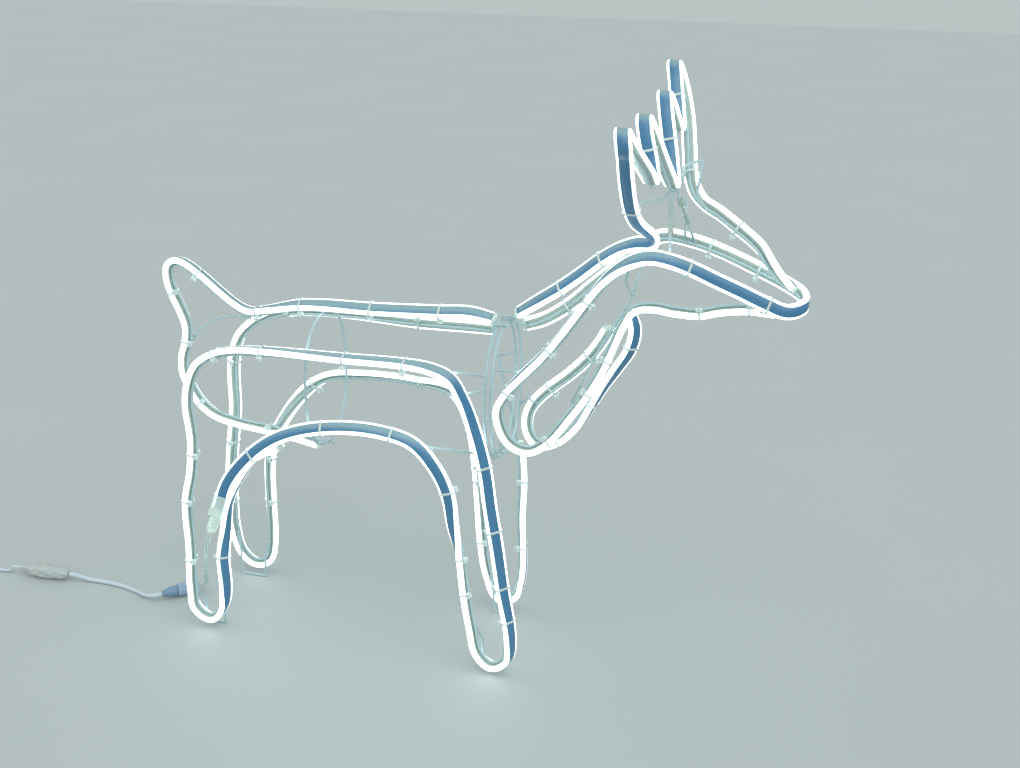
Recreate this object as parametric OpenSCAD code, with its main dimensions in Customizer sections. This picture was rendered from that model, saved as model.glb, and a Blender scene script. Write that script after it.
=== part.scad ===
// Light up yard reindeer: a welded wire frame that carries a flat light strip with two glowing edges.
// +X is the way the deer looks, +Z is up, the floor is z = 0. Near side is -Y, far side is +Y.

/* [Light strip] */
// Width of the strip over both glowing edges
strip_w = 14.5; // [12:0.5:18]
// Thickness of the strip
strip_t = 6; // [5:0.5:8]
// Depth of each glowing edge
glow_w = 2.25; // [1.5:0.25:4]
// Length of the clear plug on a cut end
cap_l = 3; // [2:0.5:5]
// Wall of the clear cap at the lead
cap_wall = 1; // [0.8:0.2:1.6]

/* [Wire frame] */
// Diameter of the frame wire
wire_d = 3; // [2:0.5:4]
// Diameter of the link and brace wires
link_d = 2.6; // [2:0.2:3.4]
// Gap left at a weld or a snug fit
seat_gap = 0.2; // [0.1:0.05:0.4]

/* [Cable ties] */
// Width of a tie
tie_w = 2.5; // [1.8:0.1:3.6]
// Thickness of a tie
tie_t = 1; // [0.8:0.1:1.4]
// Size of a tie's head
tie_head = 4.5; // [3:0.5:6]

/* [Body] */
// Distance between the front feet and the rear feet
body_l = 322; // [300:2:340]
// Distance between the two side panels
body_w = 124; // [116:2:140]
// Height of the flanks
flank_z = 337; // [325:1:345]
// Height of the arch under the belly
arch_z = 263; // [250:1:270]
// Height of the strip's middle under the feet
foot_z = 13; // [11:1:20]
// Width of the three hoops
hoop_w = 114; // [104:2:120]
// Height of the chest hoop
hoop_h = 138; // [130:2:146]
// Distance between the chest hoop and the neck hoop
hoop_gap = 6; // [5:1:12]

/* [Head] */
// Height of the outer antler points
antler_z = 601; // [590:1:615]
// Half the spread of the outer antler points
antler_y = 101; // [95:1:110]
// Sideways tilt of the antlers, rise per unit of width
antler_tilt = 0.115; // [0:0.005:0.15]
// Backward lean of the antlers, per unit of height
antler_lean = 0.28; // [0.2:0.01:0.32]
// Outside diameter of an antler sleeve
sleeve_d = 5.4; // [4.6:0.1:7]

/* [Power lead] */
// Diameter of each wire of the twin lead
lead_d = 2.4; // [2:0.1:3]
// Diameter of the round cord
cord_d = 5; // [4:0.5:6]
// Diameter of the thin cable
cable_d = 3.6; // [3:0.2:4]
// Turns of each layer of the coil
coil_turns = 2; // [2:1:3]
// Layers of the coil
coil_layers = 4; // [2:2:4]
// Middle radius of the coil
coil_r = 22; // [22:1:26]
// Outside diameter of the lock ring
ring_d = 15; // [14:0.5:18]
// Length of the lock ring
ring_l = 10; // [8:1:14]
// Diameter of the film-wrapped joint
joint_d = 19; // [14:1:22]

/* [Hidden] */

// Colours of the finishes
PAINT = [0.84, 0.92, 0.92];
BAND = [0.40, 0.54, 0.68];
GLOW = [1.00, 1.00, 0.98];
CLEAR = [0.80, 0.90, 0.88];
CORD = [0.78, 0.82, 0.82];

// Coarseness of the swept curves: degrees of turn or twist between two rings
ring_step = 19;
wire_sides = 6;
// The routes below are drawn with the feet 322 apart, and x counts from between them. What lies between
// the front legs and the rear legs takes up a change of that length, and what lies behind moves with it.
longer = body_l - 322;
front_x = 90;
rear_x = -110;
// The middle of the whole deer, which is the middle of the frame
mid_x = 106.5 - longer / 2;
function along_x(x) = x - mid_x - longer * max(0, min(1, (front_x - x) / (front_x - rear_x)));
side_y = body_w / 2;
band_w = strip_w - 2 * glow_w;
// From the middle of the strip to the middle of the wire that carries it
wire_off = strip_t / 2 + wire_d / 2 + 3 * seat_gap;
// Between the middles of a link wire and a frame wire that lie side by side
beside = (wire_d + link_d) / 2 + seat_gap;

// Vectors
function unit(v) = v / norm(v);
function mix(a, b, t) = a * (1 - t) + b * t;
function angle(a, b) = acos(max(-1, min(1, unit(a) * unit(b))));
function square_to(v, t) = unit(v - t * (v * t));

// A route is a list of rows [x, y, z, facing x, facing y, facing z]. The facing is the way the
// flat of the strip looks at that row, and the wire runs along the other side of the strip.
function spot(r) = [along_x(r[0]), r[1], r[2]];
function facing(r) = [r[3], r[4], r[5]];
function chord(rows, i) = unit(spot(rows[i + 1]) - spot(rows[i]));
function heading(rows, i) =
    i == 0 ? chord(rows, 0)
    : i == len(rows) - 1 ? chord(rows, i - 1)
    : unit(chord(rows, i - 1) + chord(rows, i));
function normal_at(rows, i) = square_to(facing(rows[i]), heading(rows, i));
function stop(rows, i) = [spot(rows[i]), heading(rows, i), normal_at(rows, i)];
function across(s) = cross(s[1], s[2]);

// Rings along one span between two rows: a smooth curve through the rows that keeps their headings
function blend(a, b, ha, hb, t) =
    let (reach = norm(b - a), s = t * t * (3 - 2 * t))
    mix(a, b, s) + reach * t * (1 - t) * (ha * (1 - t) - hb * t);
function slope(a, b, ha, hb, t) =
    let (reach = norm(b - a))
    unit(6 * t * (1 - t) * (b - a) + reach * (ha * (1 - t) * (1 - 3 * t) + hb * t * (3 * t - 2)));
function span_steps(rows, i) =
    max(1, ceil(max(angle(heading(rows, i), heading(rows, i + 1)),
                    angle(normal_at(rows, i), normal_at(rows, i + 1))) / ring_step));
function between(rows, i, t) =
    let (a = spot(rows[i]), b = spot(rows[i + 1]), ha = heading(rows, i), hb = heading(rows, i + 1),
         along = slope(a, b, ha, hb, t))
    [blend(a, b, ha, hb, t), along, square_to(mix(normal_at(rows, i), normal_at(rows, i + 1), t), along)];
function span(rows, i) =
    let (n = span_steps(rows, i)) [for (k = [0 : n - 1]) between(rows, i, k / n)];
// A stop between two rows, on the straight facet between the rings there
function stop_at(rows, v) =
    let (i = floor(v), n = span_steps(rows, i), k = floor((v - i) * n), f = (v - i) * n - k,
         a = between(rows, i, k / n), b = between(rows, i, (k + 1) / n), along = unit(b[0] - a[0]))
    i == v ? stop(rows, i) : [mix(a[0], b[0], f), along, square_to(mix(a[2], b[2], f), along)];
function rings(rows, first, last) =
    concat([for (i = [first : last - 1]) each span(rows, i)], [stop(rows, last)]);
function all_rings(rows) = rings(rows, 0, len(rows) - 1);

// One closed shell for each profile, swept along the rings; a profile is points [across, outward]
function ring_points(r, profile) =
    let (wide = across(r)) [for (q = profile) r[0] + wide * q[0] + r[2] * q[1]];
function shell_faces(base, count, profile, closed) =
    let (m = len(profile), last = closed ? count - 1 : count - 2)
    concat(
        [for (i = [0 : last], j = [0 : m - 1])
            let (k = (j + 1) % m, here = base + i * m, there = base + ((i + 1) % count) * m)
            each profile[k][1] >= profile[j][1]
                ? [[here + j, here + k, there + k], [here + j, there + k, there + j]]
                : [[here + j, here + k, there + j], [here + k, there + k, there + j]]],
        closed ? [] : [for (j = [1 : m - 2]) [base, base + j + 1, base + j]],
        closed ? [] : let (end = base + (count - 1) * m) [for (j = [1 : m - 2]) [end, end + j, end + j + 1]]
    );
module swept(path, profiles, closed = false) {
    starts = [for (p = 0, b = 0; p < len(profiles); b = b + len(path) * len(profiles[p]), p = p + 1) b];
    polyhedron(
        [for (profile = profiles, r = path) each ring_points(r, profile)],
        [for (p = [0 : len(profiles) - 1])
            each shell_faces(starts[p], len(path), profiles[p], closed)]
    );
}
function round_profile(d, v = 0, sides = wire_sides) =
    [for (k = [0 : sides - 1]) let (a = 360 * (k + 0.5) / sides) d / 2 * [cos(a), sin(a)] + [0, v]];
function band_profile() =
    let (b = band_w / 2, h = strip_t / 2) [[-b, -h], [b, -h], [b, h], [-b, h]];
function glow_profile(s) =
    let (b = band_w / 2, h = strip_t / 2, tip = 0.45 * h,
         edge = [[b, -h], [b + glow_w, -tip], [b + glow_w, tip], [b, h]])
    s > 0 ? edge : [for (i = [3 : -1 : 0]) [-edge[i][0], edge[i][1]]];

module carrier(path) {
    color(PAINT)
    swept(path, [round_profile(wire_d, -wire_off)]);
}
module band(path) {
    color(BAND)
    swept(path, [band_profile()]);
}
module glow(path) {
    color(GLOW)
    swept(path, [glow_profile(1), glow_profile(-1)]);
}

// Stand at a stop of a route: x across the strip, y outward, z along it
module at_stop(s) {
    wide = across(s);
    multmatrix([
        [wide[0], s[2][0], s[1][0], s[0][0]],
        [wide[1], s[2][1], s[1][1], s[0][1]],
        [wide[2], s[2][2], s[1][2], s[0][2]],
        [0, 0, 0, 1]
    ])
    children();
}
// A tie goes round the strip and draws in to the wire; grow is 0 for its hole and tie_t for its outside
function tie_outline(grow) =
    let (wide = strip_w / 2 + seat_gap + grow, high = strip_t / 2 + seat_gap + grow,
         low = wire_off + wire_d / 2 + seat_gap + grow, in = wire_d / 2 + 2 * seat_gap + grow)
    [[-wide, high], [-wide, -high], [-in, -low], [in, -low], [wide, -high], [wide, high]];
module tie(s) {
    seat = mix(tie_outline(0)[1], tie_outline(0)[2], 0.35);
    at_stop(s)
    difference() {
        union() {
            translate([0, 0, -tie_w / 2])
                linear_extrude(tie_w)
                    polygon(tie_outline(tie_t));
            translate([seat[0] - tie_head, seat[1] - tie_head, -tie_head / 2])
                cube(tie_head);
        }
        translate([0, 0, -tie_head])
            linear_extrude(2 * tie_head)
                polygon(tie_outline(0));
    }
}
// A clear plug on a cut end; way is 1 at the end of a route and -1 at its start
function strip_outline() =
    let (right = glow_profile(1), left = glow_profile(-1)) concat(right, left);
module end_cap(s, way) {
    at_stop(s)
    translate([0, 0, way > 0 ? seat_gap : -cap_l - seat_gap])
        linear_extrude(cap_l)
            polygon(strip_outline());
}
// A straight wire between two points
module rod(a, b, d) {
    along = b - a;
    flat = norm([along[0], along[1]]);
    translate(a)
    rotate([0, atan2(flat, along[2]), atan2(along[1], along[0])])
        cylinder(h = norm(along), d = d, $fn = 24);
}
// How far a wire of diameter d that comes in along u stops from the middle of a wire along t
function trim(u, t, big, d) =
    let (s = norm(cross(u, t)), c = abs(u * t)) (big / 2 + d / 2 * c) / max(s, 0.3) + seat_gap;
// Where a link that comes from a point stops, just short of the wire at [point, heading]
function short_of(wire, from) =
    let (u = unit(wire[0] - from)) wire[0] - u * trim(u, wire[1], wire_d, link_d);
// A link from the wire at [point, heading] to another such wire, cut short so that both ends just touch
module link(a, b, d = link_d) {
    u = unit(b[0] - a[0]);
    rod(a[0] + u * trim(u, a[1], wire_d, d), b[0] - u * trim(u, b[1], wire_d, d), d);
}
// A bent wire through points: straight runs joined by arcs of one radius
function corner_rings(p, u, v, r, face) =
    let (turn = angle(u, v), w = unit(v - u * (u * v)), lead = r * tan(turn / 2), n = ceil(turn / 24))
    [for (k = [0 : n])
        let (f = turn * k / n, along = u * cos(f) + w * sin(f))
        [p - u * lead + r * (u * sin(f) + w * (1 - cos(f))), along, square_to(face, along)]];
function bend_rings(p, r, face) =
    let (n = len(p), u = [for (i = [0 : n - 2]) unit(p[i + 1] - p[i])])
    concat(
        [[p[0], u[0], square_to(face, u[0])]],
        [for (i = [1 : n - 2]) each corner_rings(p[i], u[i - 1], u[i], r, face)],
        [[p[n - 1], u[n - 2], square_to(face, u[n - 2])]]
    );
module bent_wire(points, r = 4, d = link_d, face = [0.3, 0.8, 0.5]) {
    swept(bend_rings(points, r, face), [round_profile(d)]);
}
// A link from a hoop to the cut end of a wire
module end_link(hoop, wire) {
    u = unit(wire[0] - hoop[0]);
    rod(hoop[0] + u * trim(u, hoop[1], wire_d, link_d), wire[0] - u * 5 * seat_gap, link_d);
}
// A link from a hoop round the inner edge of a strip to the wire behind it
module edge_link(hoop, rows, v) {
    s = stop_at(rows, v);
    wide = across(s);
    inward = wide * (wide[1] * s[0][1] > 0 ? -1 : 1);
    wire = s[0] - s[2] * wire_off;
    turn = s[0] + inward * (strip_w / 2 + link_d / 2 + 9 * seat_gap);
    u = unit(turn - hoop[0]);
    start = hoop[0] + u * trim(u, hoop[1], wire_d, link_d);
    bent_wire([start, turn, turn - s[2] * wire_off, wire + inward * beside], r = 2);
}

// Side panels. Rows hold [x, z, facing forward, facing outboard, facing up, set in].
near_table = [
    [-151, 151, 0.3, 1, 0, 0], [-138, 183, 0, 1, 0.1, 0], [-109, 218, -0.2, 1, 0.3, 0],
    [-82, arch_z - 24, -0.2, 1, 0.5, 0], [-50, arch_z - 10, -0.1, 1, 0.7, 0], [-5, arch_z - 1, 0, 0.9, 0.9, 0],
    [37, arch_z - 1, 0.1, 0.8, 0.9, 0], [69, arch_z - 9, 0.4, 0.9, 0.7, 0], [91, arch_z - 31, 0.2, 1, 0.2, 0],
    [105, 204, 0, 1, 0, 0], [111, 166, -0.5, 0.9, 0, 0], [117, 132, -1, 0.3, 0, 0],
    [122, 92, -1, 0.1, 0, 0], [129, 51, -1, 0, 0, 0], [136, foot_z + 8, -1, 0, -0.6, 0],
    [152, foot_z - 5, 0, 0, -1, 0], [169, foot_z + 5, 1, 0.2, -0.7, 0], [172, 40, 1, 0.5, 0, 0],
    [163, 104, 0.9, 0.9, 0, 0], [157, 150, 0.7, 1, 0, 0], [150, 194, 0.7, 1, 0, 0],
    [144, 237, 0.7, 1, 0.1, 0], [133, 278, 0.8, 0.8, 0.3, 0], [121, flank_z - 28, 0.8, 0.5, 0.6, 0],
    [109, flank_z - 9, 0.5, 0.5, 1, 0], [88, flank_z - 1, 0.1, 0.4, 1, 0], [63, flank_z + 1, 0, 0.2, 1, 0],
    [0, flank_z, 0, 0.15, 1, 0], [-88, flank_z - 1, 0, -0.1, 1, 0], [-116, flank_z - 3, 0, -0.2, 1, 0],
    [-141, flank_z - 9, -0.4, -0.1, 1, 0], [-161, flank_z - 22, -1, 0, 1, 0],
    [-172, flank_z - 42, -1, 0, 0.4, 0], [-177, 270, -1, 0, 0, 0], [-175, 230, -1, 0, 0, 0],
    [-179, 193, -1, 0, 0, 0], [-188, 155, -1, 0, 0, 0], [-189, 100, -1, 0, 0, 0],
    [-192, 45, -1, 0, 0, 0], [-189, foot_z + 8, -1, 0, -0.8, 0], [-170, foot_z - 2, 0, 0, -1, 0],
    [-156, foot_z + 13, 1, 0, -0.5, 0], [-151, 52, 1, 0.6, 0, 0], [-153, 88, 0.8, 0.8, 0, 4],
    [-152, 118, 1, 0.3, 0, 13], [-148, 148, 1, 0, -0.2, 17], [-132, 180, 1, 0, -0.7, 17],
    [-113, 206, 0.8, 0, -1, 16], [-84, 223, 0.5, 0, -1, 16]
];
// The far panel starts at the front of the flank; its last rows are bare wire up the shoulder.
far_table = [
    [116, flank_z + 1, 0.1, 1, 0.3, 0], [92, flank_z + 1, 0, 1, 0.2, 0], [36, flank_z, 0, 1, 0.2, 0],
    [-55, flank_z + 2, 0, 1, 0.7, 0], [-115, flank_z - 2, 0, 0.8, 0.6, 0],
    [-145, flank_z - 10, -0.4, 0.4, 1, 0], [-164, flank_z - 22, -1, 0.3, 1, 0],
    [-177, flank_z - 38, -1, 0.4, 0.4, 0], [-186, 270, -0.9, 0.6, 0, 0],
    [-189, 209, -0.9, 0.6, 0, 0], [-195, 170, -0.9, 0.6, 0, 0], [-200, 131, -0.9, 0.6, 0, 0],
    [-202, 92, -1, 0.5, 0, 0], [-201, 52, -1, 0.3, 0, 0], [-193, foot_z + 11, -1, 0, -0.7, 0],
    [-176, foot_z - 1, 0, 0, -1, 0], [-158, foot_z + 7, 0.9, 0.3, -0.6, 0], [-153, 46, 0.6, 0.9, 0, 0],
    [-152, 99, 0.5, 1, 0, 0], [-151, 138, 0.5, 1, 0, 0], [-146, 172, 0.5, 1, 0, 0],
    [-129, 205, 0.3, 1, 0, 0], [-109, 233, 0.1, 1, 0.4, 0], [-89, arch_z - 10, 0, 0.7, 0.7, 0],
    [-68, arch_z + 2, 0, 0.6, 0.9, 0], [-40, arch_z + 7, 0, 0.5, 0.9, 0], [35, arch_z + 7, 0, 0.5, 0.9, 0],
    [69, arch_z, 0, 0.8, 0.6, 0], [85, arch_z - 16, -0.5, 1, 0.1, 0], [94, 219, -0.7, 0.8, 0, 0],
    [99, 184, -0.8, 0.6, 0, 0], [102, 135, -0.9, 0.4, 0, 0], [104, 85, -1, 0.1, 0, 0],
    [111, 41, -1, 0, -0.2, 0],
    [125, foot_z + 1, -0.2, 0, -1, 0], [143, foot_z + 5, 0.7, 0, -1, 0], [151, 40, 1, 0, 0, 0],
    [151, 130, 1, 0.3, 0, 0], [152, 167, 1, 0.4, 0, 0], [149, 208, 1, 0.4, 0, 0],
    [143, 245, 1, 0.4, 0, 0], [134, 280, 1, 0.4, 0.2, 0], [127, 310, 1, 0.2, 0.4, 0],
    [120, 325, 0.8, 0.2, 0.6, 0]
];
function side_rows(s, table) =
    [for (r = table) [r[0], s * (side_y - r[5]), r[1], r[2], s * r[3], r[4]]];
near_rows = side_rows(-1, near_table);
far_rows = side_rows(1, far_table);
far_bare = 4;
near_rings = all_rings(near_rows);
far_wire_rings = all_rings(far_rows);
far_end = len(far_rows) - 1 - far_bare;
far_rings = rings(far_rows, 0, far_end);
near_ties = [2, 4.5, 6.3, 9, 11, 12, 17.4, 18, 19.4, 21, 26, 27, 28, 30, 34.5, 36, 37.3, 43];
far_ties = [2, 4, 8, 10, 12, 18, 19.5, 23, 26, 29, 30.5, 32, 36.5, 38];

// Back, tail, rump and belly; the wire runs on past the strip at both ends
back_rows = [
    [148, 0, 368, 0, -0.2, 1], [134, 0, 371, 0, -0.5, 1], [111, 0, 375, 0, -0.8, 1],
    [79, 0, 373, 0, -0.8, 1], [5, 0, 369, 0, -0.7, 1], [-47, 0, 368, 0, -0.5, 1], [-72, 0, 366, 0, -0.4, 1],
    [-112, 0, 357, 0, 0, 1], [-130, 0, 354, 0, 0.1, 1], [-144, 0, 359, 0.5, 0.2, 1],
    [-161, 0, 371, 0.6, 0.2, 0.8], [-185, 0, 390, 0.6, 0.2, 0.8], [-201, 0, 400, 0.3, 0.2, 1],
    [-210, 0, 402, 0, 0.2, 1], [-219, 0, 397, -0.8, 0.1, 0.5], [-222, 0, 384, -1, 0, 0],
    [-218, 0, 366, -1, 0, -0.2], [-210, 0, 347, -1, 0, -0.3], [-205, 0, 330, -1, 0, 0],
    [-207, 0, 313, -1, 0, 0], [-213, 0, 293, -1, 0, 0], [-213, 0, 275, -1, 0, 0],
    [-207, 0, 260, -1, 0, -0.6], [-196, 0, 242, -1, 0, -1], [-180, 0, 230, -0.5, 0, -1],
    [-152, 0, 223, 0, 0, -1], [-116, 0, 219, 0, 0, -1], [-81, 0, 214, 0, 0, -1], [-60, 0, 210, 0, 0, -1],
    [-43, 0, 208, 0, 0, -1]
];
back_end = len(back_rows) - 2;
back_wire_rings = all_rings(back_rows);
back_rings = rings(back_rows, 1, back_end);
back_ties = [3, 4, 6, 7.5, 11, 16, 19, 23, 26];

// Hoops: ovals across the body, square to x
mid_hoop_x = -47;
chest_x = 143;
neck_x = chest_x + hoop_gap;
oval = 2.4;
function signed_power(v, e) = sign(v) * pow(abs(v), e);
// A hoop is [x, middle height, width, height]
function hoop_point(hoop, a) =
    [along_x(hoop[0]), hoop[2] / 2 * signed_power(cos(a), 2 / oval),
     hoop[1] + hoop[3] / 2 * signed_power(sin(a), 2 / oval)];
function hoop_stop(hoop, a) =
    [hoop_point(hoop, a), unit(hoop_point(hoop, a + 1) - hoop_point(hoop, a - 1))];
// The stop on the far half of a hoop at a height
function hoop_level(hoop, z) =
    hoop_stop(hoop, asin(signed_power((z - hoop[1]) / (hoop[3] / 2), oval / 2)));
function hoop_rings(hoop, count = 26) =
    [for (k = [0 : count - 1])
        let (s = hoop_stop(hoop, 360 * (k + 0.5) / count)) [s[0], s[1], cross(s[1], [1, 0, 0])]];
// The middle hoop fits between the back wire and the belly wire, the chest hoop rests on the back wire
weld = wire_d + seat_gap;
back_wire_z = back_rows[5][2] - wire_off;
belly_wire_z = back_rows[back_end + 1][2] + wire_off;
mid_oval = [mid_hoop_x, (back_wire_z + belly_wire_z) / 2, 2 * (side_y - wire_off - weld),
    back_wire_z - belly_wire_z - 2 * weld - 1];
chest_top = back_rows[0][2] - wire_off + weld + 0.9;
chest_z = chest_top - hoop_h / 2;
chest_oval = [chest_x, chest_z, hoop_w, hoop_h];
neck_oval = [neck_x, chest_z, hoop_w, hoop_h];

// Face strip: far neck, far cheek, round the nose, near cheek, near neck, throat and jaw
face_rows = [
    [160, 33, 357, 0, 1, 0.2], [176, 40, 361, 0, 1, 0], [200, 45, 376, 0, 1, 0],
    [226, 48, 400, 0, 1, 0], [253, 49, 425, 0, 1, 0.2], [272, 48, 442, 0, 1, 0.3],
    [292, 46, 456, 0, 1, 0.3], [321, 42, 455, 0, 1, 0.3], [351, 34, 449, 0, 1, 0.3],
    [390, 22, 437, 0, 1, 0.2], [415, 15, 428, 0.1, 1, 0.1], [430, 9, 421, 0.7, 0.7, 0],
    [435, 0, 416, 1, 0, 0], [430, -9, 412, 0.7, -0.7, 0], [419, -14, 410, 0.1, -1, 0.2],
    [402, -20, 417, 0, -1, 0.4], [377, -28, 430, 0, -1, 0.4], [354, -34, 441, 0, -1, 0.4],
    [331, -40, 452, 0, -1, 0.6], [314, -44, 458, 0, -1, 0.8], [296, -47, 461, 0, -1, 0.8],
    [283, -50, 458, -0.3, -0.8, 0.8], [268, -52, 449, -0.7, -0.4, 0.8], [252, -51, 433, -1, -0.2, 0.8],
    [240, -50, 416, -1, -0.1, 0.8], [213, -50, 376, -0.8, -0.1, 0.8], [195, -50, 353, -0.8, -0.2, 1],
    [176, -49, 332, -0.8, -0.2, 0.8], [163, -48, 316, -1, -0.1, 0.6], [153, -47, 296, -1, 0, 0],
    [156, -47, 275, -1, 0, -0.4], [166, -46, 259, -0.6, 0, -1], [184, -43, 252, 0, 0, -1],
    [202, -38, 262, 0.4, 0, -1], [221, -30, 286, 0.8, 0, -1], [237, -20, 309, 1, 0, -0.8],
    [249, -13, 331, 1, 0, -0.6], [259, -10, 356, 1, 0, -0.4], [267, -8, 377, 1, 0, -0.2],
    [276, -4, 393, 0.8, 0, -0.6], [292, 0, 397, 0.1, 0, -1], [315, 0, 395, 0, 0, -1],
    [339, 0, 395, 0, 0, -1], [357, 0, 400, 0, 0, -1], [385, 0, 404, 0, 0, -1], [408, 0, 403, 0, 0, -1]
];
face_rings = all_rings(face_rows);
face_ties = [2, 4, 7.7, 9, 15, 18, 24, 25.5, 28, 33, 35, 36.5, 42, 44];

// Far throat strip
throat_rows = [
    [270, 13, 385, 1, -0.3, 0.4], [275, 13, 370, 1, -0.7, 0], [272, 13, 350, 1, -0.9, -0.3],
    [258, 14, 325, 1, -0.8, -0.6], [246, 15, 305, 1, -0.5, -0.6], [235, 17, 284, 1, -0.3, -0.8],
    [220, 21, 257, 0.8, -0.1, -1], [200, 26, 235, 0.5, 0, -1], [180, 32, 225, 0.2, 0, -1],
    [168, 37, 227, -0.5, 0, -1], [161, 40, 240, -1, 0.3, -0.3], [162, 42, 256, -1, 0.6, 0.2],
    [171, 43, 272, -0.6, 1, 0.6], [185, 44, 286, -0.5, 1, 0.5], [205, 43, 304, -0.5, 1, 0.5],
    [227, 37, 329, -0.6, 1, 0.4], [238, 33, 346, -0.7, 1, 0.4], [246, 30, 361, -0.8, 1, 0.3]
];
throat_rings = all_rings(throat_rows);
throat_ties = [2, 5, 7, 13, 15];

// Crown strip: nape, zigzag antlers and forehead. The antlers stand in one tilted, leaning plane.
// Their heights are drawn for a rise of 83 from the low valley and follow the rise that is set.
antler_low = 518;
antler_step = (antler_z - antler_low) / 83;
function antler_height(up) = antler_low + up * antler_step;
tip_half = 8;
inner_y = 42;
valley_y = 64;
antler_turn = 0.04;
function antler_row(y, z, fy, fz) =
    [306 - antler_lean * (z - antler_low) + antler_turn * y, y, z + antler_tilt * y, 0, fy, fz];
function antler_point(y, up, back = 0) =
    let (side = antler_height(up - 11), shift = [-back, 0, 0, 0, 0, 0])
    [antler_row(y - tip_half, side, -1, 0.2) + shift, antler_row(y, antler_height(up), 0, 1) + shift,
     antler_row(y + tip_half, side, 1, 0.2) + shift];
function antler_valley(y, up) =
    let (side = antler_height(up + 9))
    [antler_row(y - tip_half, side, 1, 0.4), antler_row(y, antler_height(up), 0, 1),
     antler_row(y + tip_half, side, -1, 0.4)];
nape_rows = [
    [161, 0, 380, -0.5, -0.6, 1], [182, 0, 395, -0.5, -1, 1], [202, 0, 409, -0.5, -1.1, 1],
    [222, 0, 425, -0.5, -1.1, 1], [241, 0, 441, -0.5, -1, 1], [259, 0, 453, -0.4, -0.9, 1],
    [276, -2, 460, -0.2, -1, 0.7], [292, -9, 464, -0.3, -0.8, 0.6], [291, -20, 474, -0.3, -1, 0.1],
    [281, -36, 488, -0.2, -1, 0], [278, -52, 503, -0.1, -1, 0], [277, -79, antler_height(19), 0, -1, 0.2],
    [278, -96, antler_height(42), 0, -1, 0.2]
];
forehead_rows = [
    [303, 94, antler_height(47), 0, 1, 0], [309, 78, antler_height(19), 0, 1, 0],
    [314, 62, 515, 0, 1, 0.1],
    [321, 49, 502, 0, 1, 0.2], [332, 36, 494, 0.1, 1, 0.3], [349, 20, 489, 0.1, 1, 0.3],
    [369, 7, 479, 0.2, 1, 0.4], [388, 2, 466, 0.4, 1, 0.5], [402, 0, 450, 0.7, 0.5, 0.6],
    [413, 0, 438, 0.8, 0.2, 0.6], [422, 0, 430, 0.8, 0, 0.6]
];
crown_rows = concat(
    nape_rows,
    antler_point(-antler_y, 77, 4),
    antler_valley(-valley_y, 24),
    antler_point(-inner_y, 72),
    antler_valley(0, 0),
    antler_point(inner_y, 70),
    antler_valley(valley_y, 33),
    antler_point(antler_y, 83),
    forehead_rows
);
nape_end = len(nape_rows);
low_row = nape_end + 10;
brow_row = nape_end + 21;
crown_rings = all_rings(crown_rows);
crown_ties = [2, 4, 10, nape_end + 5.5, nape_end + 11.5, nape_end + 17.5, brow_row + 2, brow_row + 6];

// Where the wire under a row runs and which way it heads
function wire_stop(rows, v) = let (s = stop_at(rows, v)) [s[0] - wire_off * s[2], s[1]];
function at(x, y, z) = [along_x(x), y, z];

module near_side_wire() {
    carrier(near_rings);
}
module near_side_strip() {
    band(near_rings);
}
module near_side_glow() {
    glow(near_rings);
}
module far_side_wire() {
    carrier(far_wire_rings);
}
module far_side_strip() {
    band(far_rings);
}
module far_side_glow() {
    glow(far_rings);
}
module back_wire() {
    carrier(back_wire_rings);
}
module back_strip() {
    band(back_rings);
}
module back_glow() {
    glow(back_rings);
}
module face_wire() {
    carrier(face_rings);
}
module face_strip() {
    band(face_rings);
}
module face_glow() {
    glow(face_rings);
}
module throat_wire() {
    carrier(throat_rings);
}
module throat_strip() {
    band(throat_rings);
}
module throat_glow() {
    glow(throat_rings);
}
module crown_wire() {
    carrier(crown_rings);
}
module crown_strip() {
    band(crown_rings);
}
module crown_glow() {
    glow(crown_rings);
}

module body_ties() {
    color(CLEAR) {
        for (v = near_ties) tie(stop_at(near_rows, v));
        for (v = far_ties) tie(stop_at(far_rows, v));
        for (v = back_ties) tie(stop_at(back_rows, v));
    }
}
module head_ties() {
    color(CLEAR) {
        for (v = face_ties) tie(stop_at(face_rows, v));
        for (v = throat_ties) tie(stop_at(throat_rows, v));
        for (v = crown_ties) tie(stop_at(crown_rows, v));
    }
}
module body_caps() {
    color(CLEAR) {
        end_cap(stop(near_rows, len(near_rows) - 1), 1);
        end_cap(stop(far_rows, 0), -1);
        end_cap(stop(far_rows, far_end), 1);
        end_cap(stop(back_rows, 1), -1);
        end_cap(stop(back_rows, back_end), 1);
    }
}
module head_caps() {
    color(CLEAR)
    for (rows = [face_rows, throat_rows, crown_rows]) {
        end_cap(stop(rows, 0), -1);
        end_cap(stop(rows, len(rows) - 1), 1);
    }
}

// Hoops and the wires that tie the panels to them
module mid_hoop() {
    color(PAINT)
    swept(hoop_rings(mid_oval), [round_profile(wire_d)], closed = true);
}
module chest_hoop() {
    color(PAINT)
    swept(hoop_rings(chest_oval), [round_profile(wire_d)], closed = true);
}
module neck_hoop() {
    color(PAINT)
    swept(hoop_rings(neck_oval), [round_profile(wire_d)], closed = true);
}
module tail_brace() {
    top = wire_stop(back_rows, 8);
    low = wire_stop(back_rows, 19);
    off = [0, 0, -(wire_d + link_d) / 2 - seat_gap];
    color(PAINT)
    bent_wire([top[0] + off, at(-152, 0, 346), at(-172, 0, 340), at(-190, 0, 328), low[0] + [weld, 0, 4]]);
}
module shoulder_links() {
    color(PAINT) {
        edge_link(hoop_stop(chest_oval, 156), near_rows, 24);
        edge_link(hoop_stop(chest_oval, 168), near_rows, 23);
        link(wire_stop(far_rows, far_end + 3), hoop_stop(chest_oval, 12));
    }
}
arch_near = wire_stop(near_rows, 7);
arch_far = wire_stop(far_rows, 27.3);
chest_low = 242;
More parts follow.
